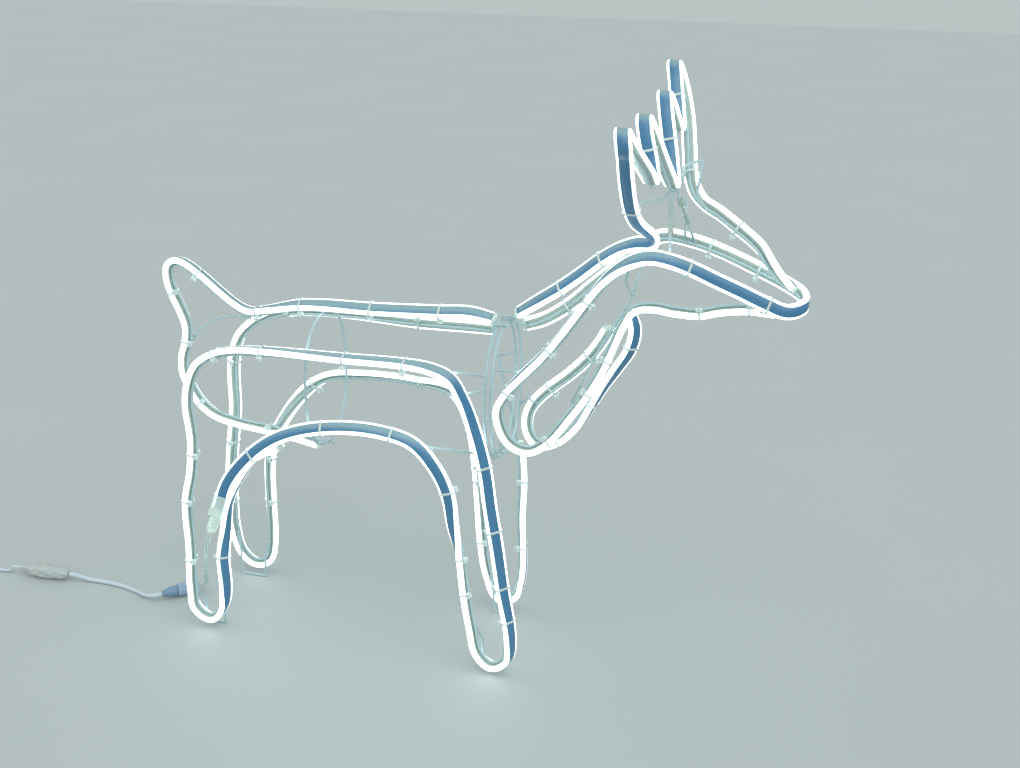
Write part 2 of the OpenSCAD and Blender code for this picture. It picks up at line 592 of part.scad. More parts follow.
module arch_links() {
    color(PAINT) {
        link(arch_near, hoop_stop(chest_oval, chest_low));
        link(arch_far, hoop_stop(chest_oval, 180 - chest_low));
    }
}
module arch_struts() {
    share = 0.25;
    far_way = hoop_stop(chest_oval, 180 - chest_low)[0] - arch_far[0];
    near_way = hoop_stop(chest_oval, chest_low)[0] - arch_near[0];
    color(PAINT) {
        link([arch_near[0] + near_way * share, unit(near_way)], wire_stop(near_rows, 8));
        link([arch_far[0] + far_way * share, unit(far_way)], wire_stop(far_rows, 28));
    }
}

// A foot is a staple of wire on the inside of a leg, from the wire at one row to the wire at another
foot_in = 5;
module foot(rows, i, k) {
    a = wire_stop(rows, i)[0];
    b = wire_stop(rows, k)[0];
    side = sign(a[1]);
    y = side * (side_y - strip_w / 2 - link_d / 2 - 4 * seat_gap);
    low = link_d / 2 * cos(30);
    xa = a[0] + foot_in;
    xb = b[0] - foot_in;
    color(PAINT)
    bent_wire([
        a - [0, side * beside, 0], [a[0] + 1, a[1] - side * beside, a[2] - 5], [xa, y, a[2] - 17],
        [xa, y, low], [xb, y, low],
        [xb, y, b[2] - 17], [b[0] - 1, b[1] - side * beside, b[2] - 5], b - [0, side * beside, 0]
    ], r = 3, face = [0, 1, 0]);
}
module near_rear_foot() {
    foot(near_rows, 38, 42);
}
module near_front_foot() {
    foot(near_rows, 13, 17);
}
module far_rear_foot() {
    foot(far_rows, 13, 17);
}
module far_front_foot() {
    foot(far_rows, 33, 36);
}

// The head section hangs on the chest hoop by hooks that lift off upward
hook_play = 0.3;
hook_y = 13;
hook_drop = 7;
function hook_points(y, z) =
    let (over = z + (wire_d + link_d) / 2 + hook_play, back = chest_x - (wire_d + link_d) / 2 - 2 * hook_play)
    [at(neck_x + 4, y, over), at(back, y, over), at(back, y, z - hook_drop)];
module top_hook() {
    color(PAINT)
    for (s = [-1, 1])
        bent_wire(hook_points(s * hook_y, chest_top), r = 2);
}
module bottom_hook() {
    color(PAINT)
    for (s = [-1, 1])
        bent_wire(hook_points(s * hook_y, chest_z - hoop_h / 2 + 1.2), r = 2);
}
module neck_links() {
    color(PAINT) {
        edge_link(hoop_stop(neck_oval, 150), face_rows, 27);
        edge_link(hoop_stop(neck_oval, 232), face_rows, 31);
        edge_link(hoop_level(neck_oval, throat_rows[12][2] - 11.5), throat_rows, 11.9);
        end_link(hoop_stop(neck_oval, 84), wire_stop(crown_rows, 0));
        end_link(hoop_stop(neck_oval, 72), wire_stop(face_rows, 0));
    }
}

// Wires inside the head
poll = wire_stop(face_rows, 21.5);
throat_top = at(274, -3, 408);
module throat_brace() {
    low = wire_stop(face_rows, 34);
    top_bend = at(270, -22, 428);
    low_bend = at(245, -10, 354);
    low_end = short_of(low, low_bend);
    color(PAINT)
    bent_wire([short_of(poll, top_bend), top_bend, throat_top, low_bend,
               low_end + unit(low_bend - low_end) * 20 * seat_gap]);
}
bar_middle = at(297, 0, 503);
module head_braces() {
    far_poll = wire_stop(face_rows, 5.4);
    far_cheek = wire_stop(face_rows, 6.85);
    color(PAINT) {
        rod(short_of(far_poll, throat_top), throat_top + unit(far_poll[0] - throat_top) * link_d, link_d);
        rod(at(315, 33, 499), far_cheek[0] - [0, 1, 0] * beside, link_d);
    }
}
valley = wire_stop(crown_rows, low_row);
near_post = [wire_stop(face_rows, 19), [valley[0] + [0, -3, 0], valley[1]]];
far_post = [wire_stop(face_rows, 7.2), [valley[0] + [3, 4, 0], valley[1]]];
module antler_posts() {
    color(PAINT) {
        link(near_post[0], near_post[1]);
        link(far_post[0], far_post[1]);
    }
}
module sleeve(a, b) {
    from = mix(a, b, 0.4);
    to = mix(a, b, 0.84);
    u = unit(b - a);
    difference() {
        rod(from, to, sleeve_d);
        rod(from - u, to + u, link_d + 2 * seat_gap);
    }
}
module antler_sleeves() {
    color(CLEAR) {
        sleeve(near_post[0][0], near_post[1][0]);
        sleeve(far_post[0][0], far_post[1][0]);
    }
}
module antler_bar() {
    near_end = wire_stop(crown_rows, 10)[0];
    far_end_point = wire_stop(crown_rows, brow_row + 2)[0];
    color(PAINT)
    bent_wire([near_end + [1, 2, 0] * 1.4, mix(near_end, bar_middle, 0.5) + [0, 0, 2], bar_middle,
               mix(far_end_point, bar_middle, 0.5), far_end_point + [-1, -2, 0] * 1.5]);
}
// The staple stands just in front of the antler limb beside it
limb_front = antler_row(18, antler_height(30), 0, 1)[0] + strip_w / 2;
module forehead_staple() {
    brow = wire_stop(crown_rows, brow_row + 5)[0];
    function post(x, y, z) = at(limb_front + x, y, z);
    color(PAINT)
    bent_wire([post(-3, 20, 500), post(1, 20, 514), post(6, 19, 529), post(9, 19, 532), post(22, 18, 538),
               post(25, 18, 536), post(24, 17, 526), post(21, 15, 508), brow + [-9, -6, 6],
               brow + [-1, -1, 0] * 1.8]);
}

// Power lead. The first cap and the ribbed socket sit in line with the start of the near strip.
lead_start = stop(near_rows, 0);
lead_cap_l = 26;
cap_depth = 16;
cap_play = 0.6;
socket_d = 11;
socket_l = 22;
module lead_cap() {
    w = strip_w + 2 * cap_play;
    color(CLEAR)
    at_stop(lead_start)
    difference() {
        translate([-w / 2 - cap_wall, -strip_t / 2 - seat_gap / 2, cap_depth - lead_cap_l])
            cube([w + 2 * cap_wall, strip_t + seat_gap / 2 + cap_play + cap_wall, lead_cap_l]);
        translate([-w / 2, -strip_t, -seat_gap])
            cube([w, strip_t * 1.5 + cap_play, lead_cap_l]);
    }
}
module lead_socket() {
    color(CLEAR)
    at_stop(lead_start)
    translate([0, 0, cap_depth - lead_cap_l - seat_gap])
    rotate([180, 0, 0]) {
        cylinder(h = socket_l, d = socket_d - 1.6, $fn = 48);
        for (k = [0 : 3])
            translate([0, 0, 2 + 5 * k])
                cylinder(h = 3, d = socket_d, $fn = 48);
    }
}
// The in-line connector lies on the floor behind the near rear leg, its axis along line_way
line_start = at(-222, 1, ring_d / 2 + 0.3);
line_way = unit([-18, -17, 0]);
line_d = 12;
line_l = 14;
relief_l = 11;
module on_line(s) {
    translate(line_start + line_way * s)
    rotate([0, 90, atan2(line_way[1], line_way[0])])
        children();
}
module inline_socket() {
    color(CLEAR) {
        on_line(0)
            cylinder(h = line_l, d = line_d, $fn = 48);
        on_line(line_l)
            cylinder(h = ring_l + 2 * seat_gap, d = line_d - 3, $fn = 48);
    }
}
module lock_ring() {
    color(CLEAR)
    on_line(line_l + seat_gap)
    difference() {
        cylinder(h = ring_l, d = ring_d, $fn = 48);
        translate([0, 0, -1])
            cylinder(h = ring_l + 2, d = line_d - 3 + 0.1, $fn = 48);
        for (k = [0 : 7])
            rotate([0, 0, 45 * k])
            translate([ring_d / 2, 0, -1])
                cylinder(h = ring_l + 2, d = 2, $fn = 24);
    }
}
plug_at = line_l + ring_l + 3 * seat_gap;
module inline_plug() {
    color(CORD) {
        on_line(plug_at)
            cylinder(h = 6, d = line_d, $fn = 48);
        on_line(plug_at + 6)
            cylinder(h = relief_l, d1 = line_d, d2 = cord_d + 1.6, $fn = 48);
    }
}
// The whole power lead lies behind the rear legs, so its points have moved by the full change of length
function drawn_x(x) = x + mid_x + longer;
function loose(points) = all_rings([for (p = points) [drawn_x(p[0]), p[1], p[2], 0.1, 0.2, 1]]);
lead_from = lead_start[0] - lead_start[1] * (lead_cap_l - cap_depth + socket_l + 2 * seat_gap);
lead_points = [
    lead_from, lead_from - lead_start[1] * 10, at(-181, -45, 84), at(-193, -28, 58), at(-203, -12, 36),
    at(-210, 0, 19), at(-214, 5, 11), line_start - line_way * 5, line_start - line_way * 3 * seat_gap
];
module twin_lead() {
    apart = (lead_d + seat_gap) / 2;
    shift = [apart, 0];
    color(CORD)
    swept(all_rings([for (p = lead_points) [drawn_x(p[0]), p[1], p[2], 0.2, 1, 0.5]]),
          [[for (q = round_profile(lead_d)) q - shift], [for (q = round_profile(lead_d)) q + shift]]);
}
// The round cord, the film-wrapped joint and the thin cable
cord_from = line_start + line_way * (plug_at + 6 + relief_l + seat_gap);
joint_r = joint_d / 2;
joint_from = at(-379, -20, joint_r);
joint_way = unit([-60, -3, 0]);
joint_l = 62;
cord_z = cord_d / 2 + 0.3;
cord_points = [
    cord_from, cord_from + line_way * 8, at(-272, -31, cord_z + 2), at(-287, -24, cord_z),
    at(-312, -17, cord_z), at(-336, -15, cord_z), at(-356, -16, cord_z + 1),
    joint_from - joint_way * 10 + [0, 0, -1],
    joint_from - joint_way * seat_gap
];
module cord() {
    color(CORD)
    swept(loose(cord_points), [round_profile(cord_d, 0, 10)]);
}
module film_joint() {
    color(CLEAR)
    translate(joint_from)
    rotate([0, 90, atan2(joint_way[1], joint_way[0])])
    rotate_extrude($fn = 48)
        polygon([[0, 0], [4, 0], [joint_r - 2, 8], [joint_r - 0.5, 22], [joint_r - 0.5, 36],
                 [joint_r - 2, 48], [3, joint_l], [0, joint_l]]);
}
coil_pitch = cable_d + 0.6;
coil_lift = tie_t + 0.5;
coil_out = coil_r + coil_pitch * coil_turns / 2;
coil_z = coil_lift + cable_d / 2;
coil_mid = at(-540, -24 - coil_out, 0);
cable_points = [
    joint_from + joint_way * (joint_l + seat_gap), joint_from + joint_way * (joint_l + 10),
    at(-458, -23.5, cable_d), at(-480, -24, coil_z), at(-510, -24, coil_z),
    coil_mid + [cable_d, coil_out, coil_z]
];
module cable() {
    color(CORD)
    swept(loose(cable_points), [round_profile(cable_d, 0, 8)]);
}
// The coil spirals in and out again, layer on layer, and climbs in the half turn where it reverses
function coil_wave(t) = let (w = t / coil_turns, f = w - 2 * floor(w / 2)) f <= 1 ? f : 2 - f;
function coil_climb(t, k) = let (f = max(0, min(1, (t - k * coil_turns + 0.25) / 0.5))) f * f * (3 - 2 * f);
function sum(v, i = 0) = i < len(v) ? v[i] + sum(v, i + 1) : 0;
function coil_point(t) =
    let (r = coil_out - coil_pitch * coil_turns * coil_wave(t), a = 90 + 360 * t,
         rise = coil_pitch * sum([for (k = [1 : coil_layers - 1]) coil_climb(t, k)]))
    coil_mid + [r * cos(a), r * sin(a), coil_z + rise];
coil_total = coil_turns * coil_layers;
coil_steps = 24 * coil_total;
coil_tail = 34;
coil_line = [for (k = [0 : coil_steps]) coil_point(coil_total * k / coil_steps)];
coil_last = coil_line[coil_steps];
coil_exit = [-1, 0, 0];
coil_first = coil_mid + [cable_d - seat_gap, coil_out, coil_z];
coil_path = concat([coil_first], coil_line, [coil_last + coil_exit * coil_tail]);
coil_gap = min([for (i = [0 : 2 : coil_steps], j = [i + 16 : 1 : coil_steps])
    norm(coil_line[i] - coil_line[j])]) - cable_d;
echo(coil_gap = coil_gap);
module coil() {
    n = len(coil_path);
    path = [for (i = [0 : n - 1])
        let (t = unit(coil_path[min(n - 1, i + 1)] - coil_path[max(0, i - 1)]))
        [coil_path[i], t, square_to([0, 0, 1], t)]];
    color(CORD)
    swept(path, [round_profile(cable_d)]);
}
module coil_tie() {
    deep = coil_pitch * coil_turns + cable_d + 1.6;
    high = coil_pitch * (coil_layers - 1) + cable_d + 0.8;
    color(CLEAR)
    translate(coil_mid + [-deep / 2, -coil_r, coil_lift - 0.4])
    translate([deep / 2, 0, 0])
    rotate([0, 0, 90])
    difference() {
        translate([-deep / 2 - tie_t, -1.5, -tie_t])
            cube([deep + 2 * tie_t, 3, high + 2 * tie_t]);
        translate([-deep / 2, -3, 0])
            cube([deep, 6, high]);
    }
}
adapter_l = 46;
adapter_w = 34;
adapter_h = 2 * coil_last[2];
corner = 4;
adapter_from = coil_last + coil_exit * (coil_tail + seat_gap);
module adapter() {
    color(CORD)
    translate([adapter_from[0] - 10 - adapter_l, adapter_from[1], 0]) {
        for (x = [corner, adapter_l - corner], y = [-1, 1])
            translate([x, y * (adapter_w / 2 - corner), 0])
                cylinder(h = adapter_h, r = corner, $fn = 48);
        translate([corner, -adapter_w / 2, 0])
            cube([adapter_l - 2 * corner, adapter_w, adapter_h]);
        translate([0, corner - adapter_w / 2, 0])
            cube([adapter_l, adapter_w - 2 * corner, adapter_h]);
        translate([adapter_l, 0, adapter_h / 2])
        rotate([0, 90, 0])
            cylinder(h = 10, d1 = cable_d + 5, d2 = cable_d + 1.6, $fn = 48);
    }
}
module adapter_blades() {
    color([0.75, 0.76, 0.78])
    for (s = [-1, 1])
        translate(adapter_from + [-26 - adapter_l, s * 6.35 - 0.75, -3])
            cube([16 - seat_gap, 1.5, 6]);
}

near_side_wire();
near_side_strip();
near_side_glow();
far_side_wire();
far_side_strip();
far_side_glow();
back_wire();
back_strip();
back_glow();
body_ties();
body_caps();
tail_brace();
mid_hoop();
chest_hoop();
shoulder_links();
arch_links();
arch_struts();
near_rear_foot();
near_front_foot();
far_rear_foot();
far_front_foot();
neck_hoop();
top_hook();
bottom_hook();
neck_links();
face_wire();
face_strip();
face_glow();
throat_wire();
throat_strip();
throat_glow();
crown_wire();
crown_strip();
crown_glow();
head_ties();
head_caps();
throat_brace();
head_braces();
antler_posts();
antler_sleeves();
antler_bar();
forehead_staple();
lead_cap();
lead_socket();
twin_lead();
inline_socket();
lock_ring();
inline_plug();
cord();
film_joint();
cable();
coil();
coil_tie();
adapter();
adapter_blades();
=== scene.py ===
# %% [markdown]
# # A light up yard reindeer
# The real object is a welded wire frame, painted white, that carries a flat light strip. The strip is
# the drawing: two glowing edges with an opaque band between them, bent into flanks, legs, head and
# antlers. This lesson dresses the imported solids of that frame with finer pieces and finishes.
#
# Everything shares one frame. +X is the way the deer looks, +Z is up and the floor is z = 0. Routes and
# sizes below are written in millimetres, as a maker would measure them, and become metres in the mesh.

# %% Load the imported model
import math

import bmesh
import bpy
import numpy as np
from mathutils import Matrix, Quaternion, Vector


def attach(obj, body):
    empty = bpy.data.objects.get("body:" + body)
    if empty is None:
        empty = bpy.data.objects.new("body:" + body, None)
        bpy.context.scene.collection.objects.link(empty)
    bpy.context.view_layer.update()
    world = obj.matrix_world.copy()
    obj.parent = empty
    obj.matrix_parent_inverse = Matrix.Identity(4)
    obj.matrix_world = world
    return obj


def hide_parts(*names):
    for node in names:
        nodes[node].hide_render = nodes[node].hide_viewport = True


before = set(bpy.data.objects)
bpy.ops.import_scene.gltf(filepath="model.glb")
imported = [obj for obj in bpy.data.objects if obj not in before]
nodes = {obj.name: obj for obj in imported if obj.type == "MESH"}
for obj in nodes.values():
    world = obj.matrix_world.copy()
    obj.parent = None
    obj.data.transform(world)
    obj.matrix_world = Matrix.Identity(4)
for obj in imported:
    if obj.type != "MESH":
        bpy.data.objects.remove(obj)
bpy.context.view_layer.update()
MM = 0.001

# %% [markdown]
# ## The camera
# A camera can be placed by eye, but one fitted to the straight lines of a photograph gives the same
# crossings of near and far wires. The fit gave a height, a heading, a pitch, a small roll and a
# lens. A track quaternion turns the heading into a rotation, and the roll turns about the line of sight.

# %% Camera
CAMERA_AT = (368.5, -1171.0, 792.0)
CAMERA_HEADING = (-0.2654, 0.9641)
CAMERA_PITCH = math.radians(21.92)
CAMERA_ROLL = math.radians(0.40)
FOCAL_PX, FRAME_PX = 1300.0, 1020.0
SENSOR_W, VIEW_END = 36.0, 50.0


def add_object(name, data):
    """A new object, put in the scene."""
    added = bpy.data.objects.new(name, data)
    bpy.context.scene.collection.objects.link(added)
    return added


camera = add_object("camera", bpy.data.cameras.new("camera"))
camera.data.sensor_width = SENSOR_W
camera.data.lens = FOCAL_PX / FRAME_PX * SENSOR_W
level = math.cos(CAMERA_PITCH)
sight = Vector((CAMERA_HEADING[0] * level, CAMERA_HEADING[1] * level, -math.sin(CAMERA_PITCH)))
camera.location = Vector(CAMERA_AT) * MM
camera.rotation_mode = "QUATERNION"
camera.rotation_quaternion = sight.to_track_quat("-Z", "Y") @ Quaternion((0, 0, 1), CAMERA_ROLL)
camera.data.clip_end = VIEW_END
bpy.context.scene.camera = camera
print("lens", round(camera.data.lens, 2), "mm")

# %% [markdown]
# ## Sizes of the strip and the wire
# The few driving sizes of the object. The strip is 14.5 mm by 6 mm; its wire lies behind it, and thin
# link wires join the frame. Values that depend on these are worked out, not typed again.

# %% Driving sizes
STRIP_W, STRIP_T, GLOW_W = 14.5, 6.0, 2.25
WIRE_D, LINK_D, SEAT_GAP = 3.0, 2.6, 0.2
TIE_W, TIE_T, TIE_HEAD = 2.5, 1.0, 4.5
BAND_HALF = STRIP_W / 2 - GLOW_W
STRIP_HALF_T = STRIP_T / 2
WIRE_OFF = STRIP_HALF_T + WIRE_D / 2 + 3 * SEAT_GAP
BESIDE = (WIRE_D + LINK_D) / 2 + SEAT_GAP
WELD = WIRE_D + SEAT_GAP
MID_X = 106.5
print("wire runs", round(WIRE_OFF, 2), "mm behind the middle of the strip")

# %% [markdown]
# ## Routes
# A bent strip is a route: a row for each listed point, with the place and the way the flat of the
# strip looks there. A Bezier curve with bevel could follow the points, but its twist is hard to steer,
# and here the facing matters. So each span between two rows is a Hermite curve that keeps the rows'
# headings, and the facing turns evenly from row to row.


# %% Route tools
def unit(v):
    return v / np.linalg.norm(v)


def square_to(v, along):
    return unit(v - along * (v @ along))


def smooth(t):
    """Goes from 0 to 1 with a level start and end."""
    return t * t * (3 - 2 * t)


def point(x, y, z):
    """A place counted from the middle of the feet, put in the part's frame."""
    return np.array([x - MID_X, y, z], float)


class Route:
    """Rows of [x, y, z, facing x, facing y, facing z] with the curve through them."""

    def __init__(self, rows):
        rows = np.array(rows, float)
        self.spots = rows[:, :3] - [MID_X, 0, 0]
        chords = [unit(b - a) for a, b in zip(self.spots, self.spots[1:])]
        inner = [unit(a + b) for a, b in zip(chords, chords[1:])]
        self.headings = [chords[0], *inner, chords[-1]]
        self.normals = [square_to(f, h) for f, h in zip(rows[:, 3:], self.headings)]
        self.last = len(rows) - 1

    def stop(self, v):
        """Place, heading and facing at row v, which may lie between two rows."""
        i = min(int(v), self.last - 1)
        t = v - i
        a, b = self.spots[i], self.spots[i + 1]
        ha, hb = self.headings[i], self.headings[i + 1]
        reach = np.linalg.norm(b - a)
        ease = smooth(t)
        place = a * (1 - ease) + b * ease + reach * t * (1 - t) * (ha * (1 - t) - hb * t)
        bend = ha * (1 - t) * (1 - 3 * t) + hb * t * (3 * t - 2)
        along = unit(6 * t * (1 - t) * (b - a) + reach * bend)
        facing = self.normals[i] * (1 - t) + self.normals[i + 1] * t
        return place, along, square_to(facing, along)

    def rings(self, first=0, last=None, step=3.0):
        """Stops about one step apart from one row to another."""
        last = self.last if last is None else last
        marks = []
        for i in range(first, last):
            count = max(2, round(np.linalg.norm(self.spots[i + 1] - self.spots[i]) / step))
            marks += [i + k / count for k in range(count)]
        return [self.stop(v) for v in [*marks, last]]

    def wire(self, v):
        """Place and heading of the wire behind the strip at row v."""
        place, along, facing = self.stop(v)
        return place - WIRE_OFF * facing, along


print("route tools ready")

# %% [markdown]
# ## Tubes and sweeps
# Strip, wire and cord are all one idea: a flat outline carried along a line. Blender's curve bevel does
# that too, but a swept mesh lets each face know which part of the outline it came from, and so which
# finish it takes. The outline is a list of (across, outward) pairs, and every ring is one copy of it.


# %% Sweep tools
def skin_over(bm, skin, closed=False, finish_of=None):
    """Faces from ring to ring of points; finish_of(j) gives the material index of outline side j."""
    count, sides = len(skin), len(skin[0])
    for i in range(count if closed else count - 1):
        here, there = skin[i], skin[(i + 1) % count]
        for j in range(sides):
            k = (j + 1) % sides
            patch = bm.faces.new((here[j], here[k], there[k], there[j]))
            patch.smooth = True
            patch.material_index = finish_of(j) if finish_of else 0
    if not closed:
        bm.faces.new(skin[0][::-1])
        bm.faces.new(skin[-1])


def swept(bm, rings, outline, closed=False, finish_of=None):
    """Carries an outline along rings of place, heading and facing."""
    skin = []
    for place, along, facing in rings:
        wide = np.cross(along, facing)
        skin.append([bm.verts.new((place + wide * u + facing * v) * MM) for u, v in outline])
    skin_over(bm, skin, closed, finish_of)


def make_piece(name, bm, finishes, body, stands_for=()):
    """Turns a bmesh into a piece that rides on a body and may stand for some solids."""
    bmesh.ops.recalc_face_normals(bm, faces=bm.faces)
    mesh = bpy.data.meshes.new(name)
    bm.to_mesh(mesh)
    bm.free()
    for material in finishes:
        mesh.materials.append(material)
    piece = add_object(name, mesh)
    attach(piece, body)
    if stands_for:
        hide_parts(*stands_for)
    return piece


def swept_piece(name, rings, outlines, material, body, stands_for=()):
    """One piece of one finish, with a sweep for each outline."""
    bm = bmesh.new()
    for outline in outlines:
        swept(bm, rings, outline)
    return make_piece(name, bm, [material], body, stands_for)


def circle(d, sides=12, outward=0.0):
    """A round outline, pushed outward from the line if asked."""
    turns = [2 * math.pi * k / sides for k in range(sides)]
    return [(d / 2 * math.cos(a), d / 2 * math.sin(a) + outward) for a in turns]


START_FACING = np.array([0.29, 0.17, 0.94])  # no wire here runs this way


def carried(points):
    """Rings along a polyline whose outline never twists: each facing is the last one, squared again."""
    points = [np.array(p, float) for p in points]
    rings = []
    facing = START_FACING
    for i, place in enumerate(points):
        along = unit(points[min(i + 1, len(points) - 1)] - points[max(i - 1, 0)])
        facing = square_to(facing, along)
        rings.append((place, along, facing))
    return rings


print("sweep tools ready")

# %% [markdown]
# ## Finishes: shared effects
# A finish looks real when it is never quite even. Three small effects serve the materials here, so each
# is a node group with named sockets, built once. "Mottle" mixes two tones by soft noise and gives a
# roughness to go with it. "Fine bump" is a height for moulded plastic, paint and film. The third is a
# painted reflection: it pales a colour where the surface looks up, painting in the pale ceiling a satin face
# would mirror.

# %% Group tools
COLOUR, NUMBER = "NodeSocketColor", "NodeSocketFloat"
MIX_A, MIX_B, MIX_RESULT = 6, 7, 2  # a Mix node's colour sockets share their names with its number sockets


def new_group(name, inputs, outputs):
    """An empty shader group with sockets (name, type, default) and its two end nodes."""
    group = bpy.data.node_groups.new(name, "ShaderNodeTree")
    for label, kind, value in inputs:
        socket = group.interface.new_socket(label, in_out="INPUT", socket_type=kind)
        socket.default_value = value
    for label, kind in outputs:
        group.interface.new_socket(label, in_out="OUTPUT", socket_type=kind)
    return group, group.nodes.new("NodeGroupInput"), group.nodes.new("NodeGroupOutput")


def connect(tree, pairs):
    """Links each source socket to its target."""
    for source, target in pairs:
        tree.links.new(source, target)


def object_noise(tree, scale, detail):
    """Soft noise that stays with the object; its scale comes from a socket."""
    place = tree.nodes.new("ShaderNodeTexCoord")
    noise = tree.nodes.new("ShaderNodeTexNoise")
    noise.inputs["Detail"].default_value = detail
    connect(tree, [(place.outputs["Object"], noise.inputs["Vector"]), (scale, noise.inputs["Scale"])])
    return noise.outputs["Fac"]


def map_range(tree, low, high, curve="LINEAR"):
    """Stretches the values between low and high over the node's To range."""
    spread = tree.nodes.new("ShaderNodeMapRange")
    spread.interpolation_type = curve
    spread.inputs["From Min"].default_value = low
    spread.inputs["From Max"].default_value = high
    return spread


def colour_mix(tree):
    mix = tree.nodes.new("ShaderNodeMix")
    mix.data_type = "RGBA"
    return mix


print("group tools ready")

# %% Mottle
mottle, m_in, m_out = new_group(
    "Mottle",
    [("Tone", COLOUR, (0.8, 0.8, 0.8, 1)), ("Other tone", COLOUR, (0.6, 0.6, 0.6, 1)),
     ("Scale", NUMBER, 60.0), ("Smooth", NUMBER, 0.3), ("Rough", NUMBER, 0.5)],
    [("Colour", COLOUR), ("Roughness", NUMBER)],
)
m_noise = object_noise(mottle, m_in.outputs["Scale"], detail=4.0)
m_mix, m_range = colour_mix(mottle), map_range(mottle, 0.3, 0.7)
connect(mottle, [
    (m_noise, m_mix.inputs["Factor"]),
    (m_in.outputs["Tone"], m_mix.inputs[MIX_A]),
    (m_in.outputs["Other tone"], m_mix.inputs[MIX_B]),
    (m_mix.outputs[MIX_RESULT], m_out.inputs["Colour"]),
    (m_noise, m_range.inputs["Value"]),
    (m_in.outputs["Smooth"], m_range.inputs["To Min"]),
    (m_in.outputs["Rough"], m_range.inputs["To Max"]),
    (m_range.outputs["Result"], m_out.inputs["Roughness"]),
])
print("mottle has", len(mottle.nodes), "nodes")

# %% Fine bump and painted sky reflection
fine_bump, b_in, b_out = new_group("Fine bump", [("Scale", NUMBER, 900.0)], [("Height", NUMBER)])
b_noise = object_noise(fine_bump, b_in.outputs["Scale"], detail=3.0)
connect(fine_bump, [(b_noise, b_out.inputs["Height"])])

# Painted reflection: where the normal looks up, the colour is mixed toward a paler tone, as if a lit ceiling
# were mirrored in a satin face.
painted_sky_reflection, s_in, s_out = new_group(
    "Painted sky reflection",
    [("Colour", COLOUR, (0.5, 0.5, 0.5, 1)), ("Cast", COLOUR, (0.8, 0.8, 0.8, 1))],
    [("Colour", COLOUR)],
)
s_normal = painted_sky_reflection.nodes.new("ShaderNodeNewGeometry")
s_split = painted_sky_reflection.nodes.new("ShaderNodeSeparateXYZ")
s_range, s_mix = map_range(painted_sky_reflection, 0.35, 0.9, "SMOOTHSTEP"), colour_mix(painted_sky_reflection)
connect(painted_sky_reflection, [
    (s_normal.outputs["Normal"], s_split.inputs["Vector"]),
    (s_split.outputs["Z"], s_range.inputs["Value"]),
    (s_range.outputs["Result"], s_mix.inputs["Factor"]),
    (s_in.outputs["Colour"], s_mix.inputs[MIX_A]),
    (s_in.outputs["Cast"], s_mix.inputs[MIX_B]),
    (s_mix.outputs[MIX_RESULT], s_out.inputs["Colour"]),
])
print("groups", [g.name for g in bpy.data.node_groups])

# %% [markdown]
# ## Finishes of this object
# The strip's band is white plastic. Its flat outer face is written deep blue: painted shade, as the face
# looks beside its own glow. Its back is written pale grey-green: painted light from the glow of the strips
# around it.
# The edges are white light. The wires are white paint, written as a dimmer green-blue grey: painted shade of
# wires lit only by the strips. Caps on the strips are of clear plastic with a faint painted glow for the
# strip light that shines through them. Plain values sit on the shader's own sockets; only what changes over
# the surface comes from the groups.

# %% Materials
BUMP_DEPTH = 0.0005


def use_group(tree, group, values):
    """Places a group in a material with its own values."""
    node = tree.nodes.new("ShaderNodeGroup")
    node.node_tree = group
    for label, value in values.items():
        node.inputs[label].default_value = value
    return node


def finish(name, tone, other, scale, gloss, bump, bump_scale=900.0, reflection_tone=None, **plain):
    """A principled material. Its colour wanders between two tones and its roughness between the two values
    of gloss, in blotches of one scale. The bump has a strength and a scale, and the last tone, when given, is
    a painted reflection that pales what looks up."""
    material = bpy.data.materials.new(name)
    material.use_nodes = True
    tree = material.node_tree
    shader = tree.nodes["Principled BSDF"]
    tint = use_group(tree, mottle, {"Tone": (*tone, 1), "Other tone": (*other, 1), "Scale": scale,
                                    "Smooth": gloss[0], "Rough": gloss[1]})
    colour = tint.outputs["Colour"]
    # Painted reflection: when a tone is given here, up-facing parts are painted paler with it.
    if reflection_tone:
        pale = use_group(tree, painted_sky_reflection, {"Cast": (*reflection_tone, 1)})
        tree.links.new(colour, pale.inputs["Colour"])
        colour = pale.outputs["Colour"]
    grain = use_group(tree, fine_bump, {"Scale": bump_scale})
    relief = tree.nodes.new("ShaderNodeBump")
    relief.inputs["Strength"].default_value = bump
    relief.inputs["Distance"].default_value = BUMP_DEPTH
    connect(tree, [
        (colour, shader.inputs["Base Color"]),
        (tint.outputs["Roughness"], shader.inputs["Roughness"]),
        (grain.outputs["Height"], relief.inputs["Height"]),
        (relief.outputs["Normal"], shader.inputs["Normal"]),
    ])
    for label, value in plain.items():
        shader.inputs[label.replace("_", " ")].default_value = value
    return material


# Painted shade: the wires are white paint, written as a dimmer green-blue grey for wires lit only by the
# strips; the two tones wander at random.
SHADED_WIRE_PAINT = finish("wire_paint_painted_shade", (0.50, 0.66, 0.68), (0.36, 0.52, 0.56), 45, (0.25, 0.45), 0.25, 500,
               Coat_Weight=0.25)
# Painted shade: the band is white plastic, written deep blue for its shaded outer face; the given tone paints
# a paler reflection where it looks up.
SHADED_BAND_FACE = finish("band_face_painted_shade", (0.036, 0.172, 0.350), (0.080, 0.250, 0.420), 9, (0.25, 0.4), 0.08,
                   reflection_tone=(0.26, 0.42, 0.46), Coat_Weight=0.25)
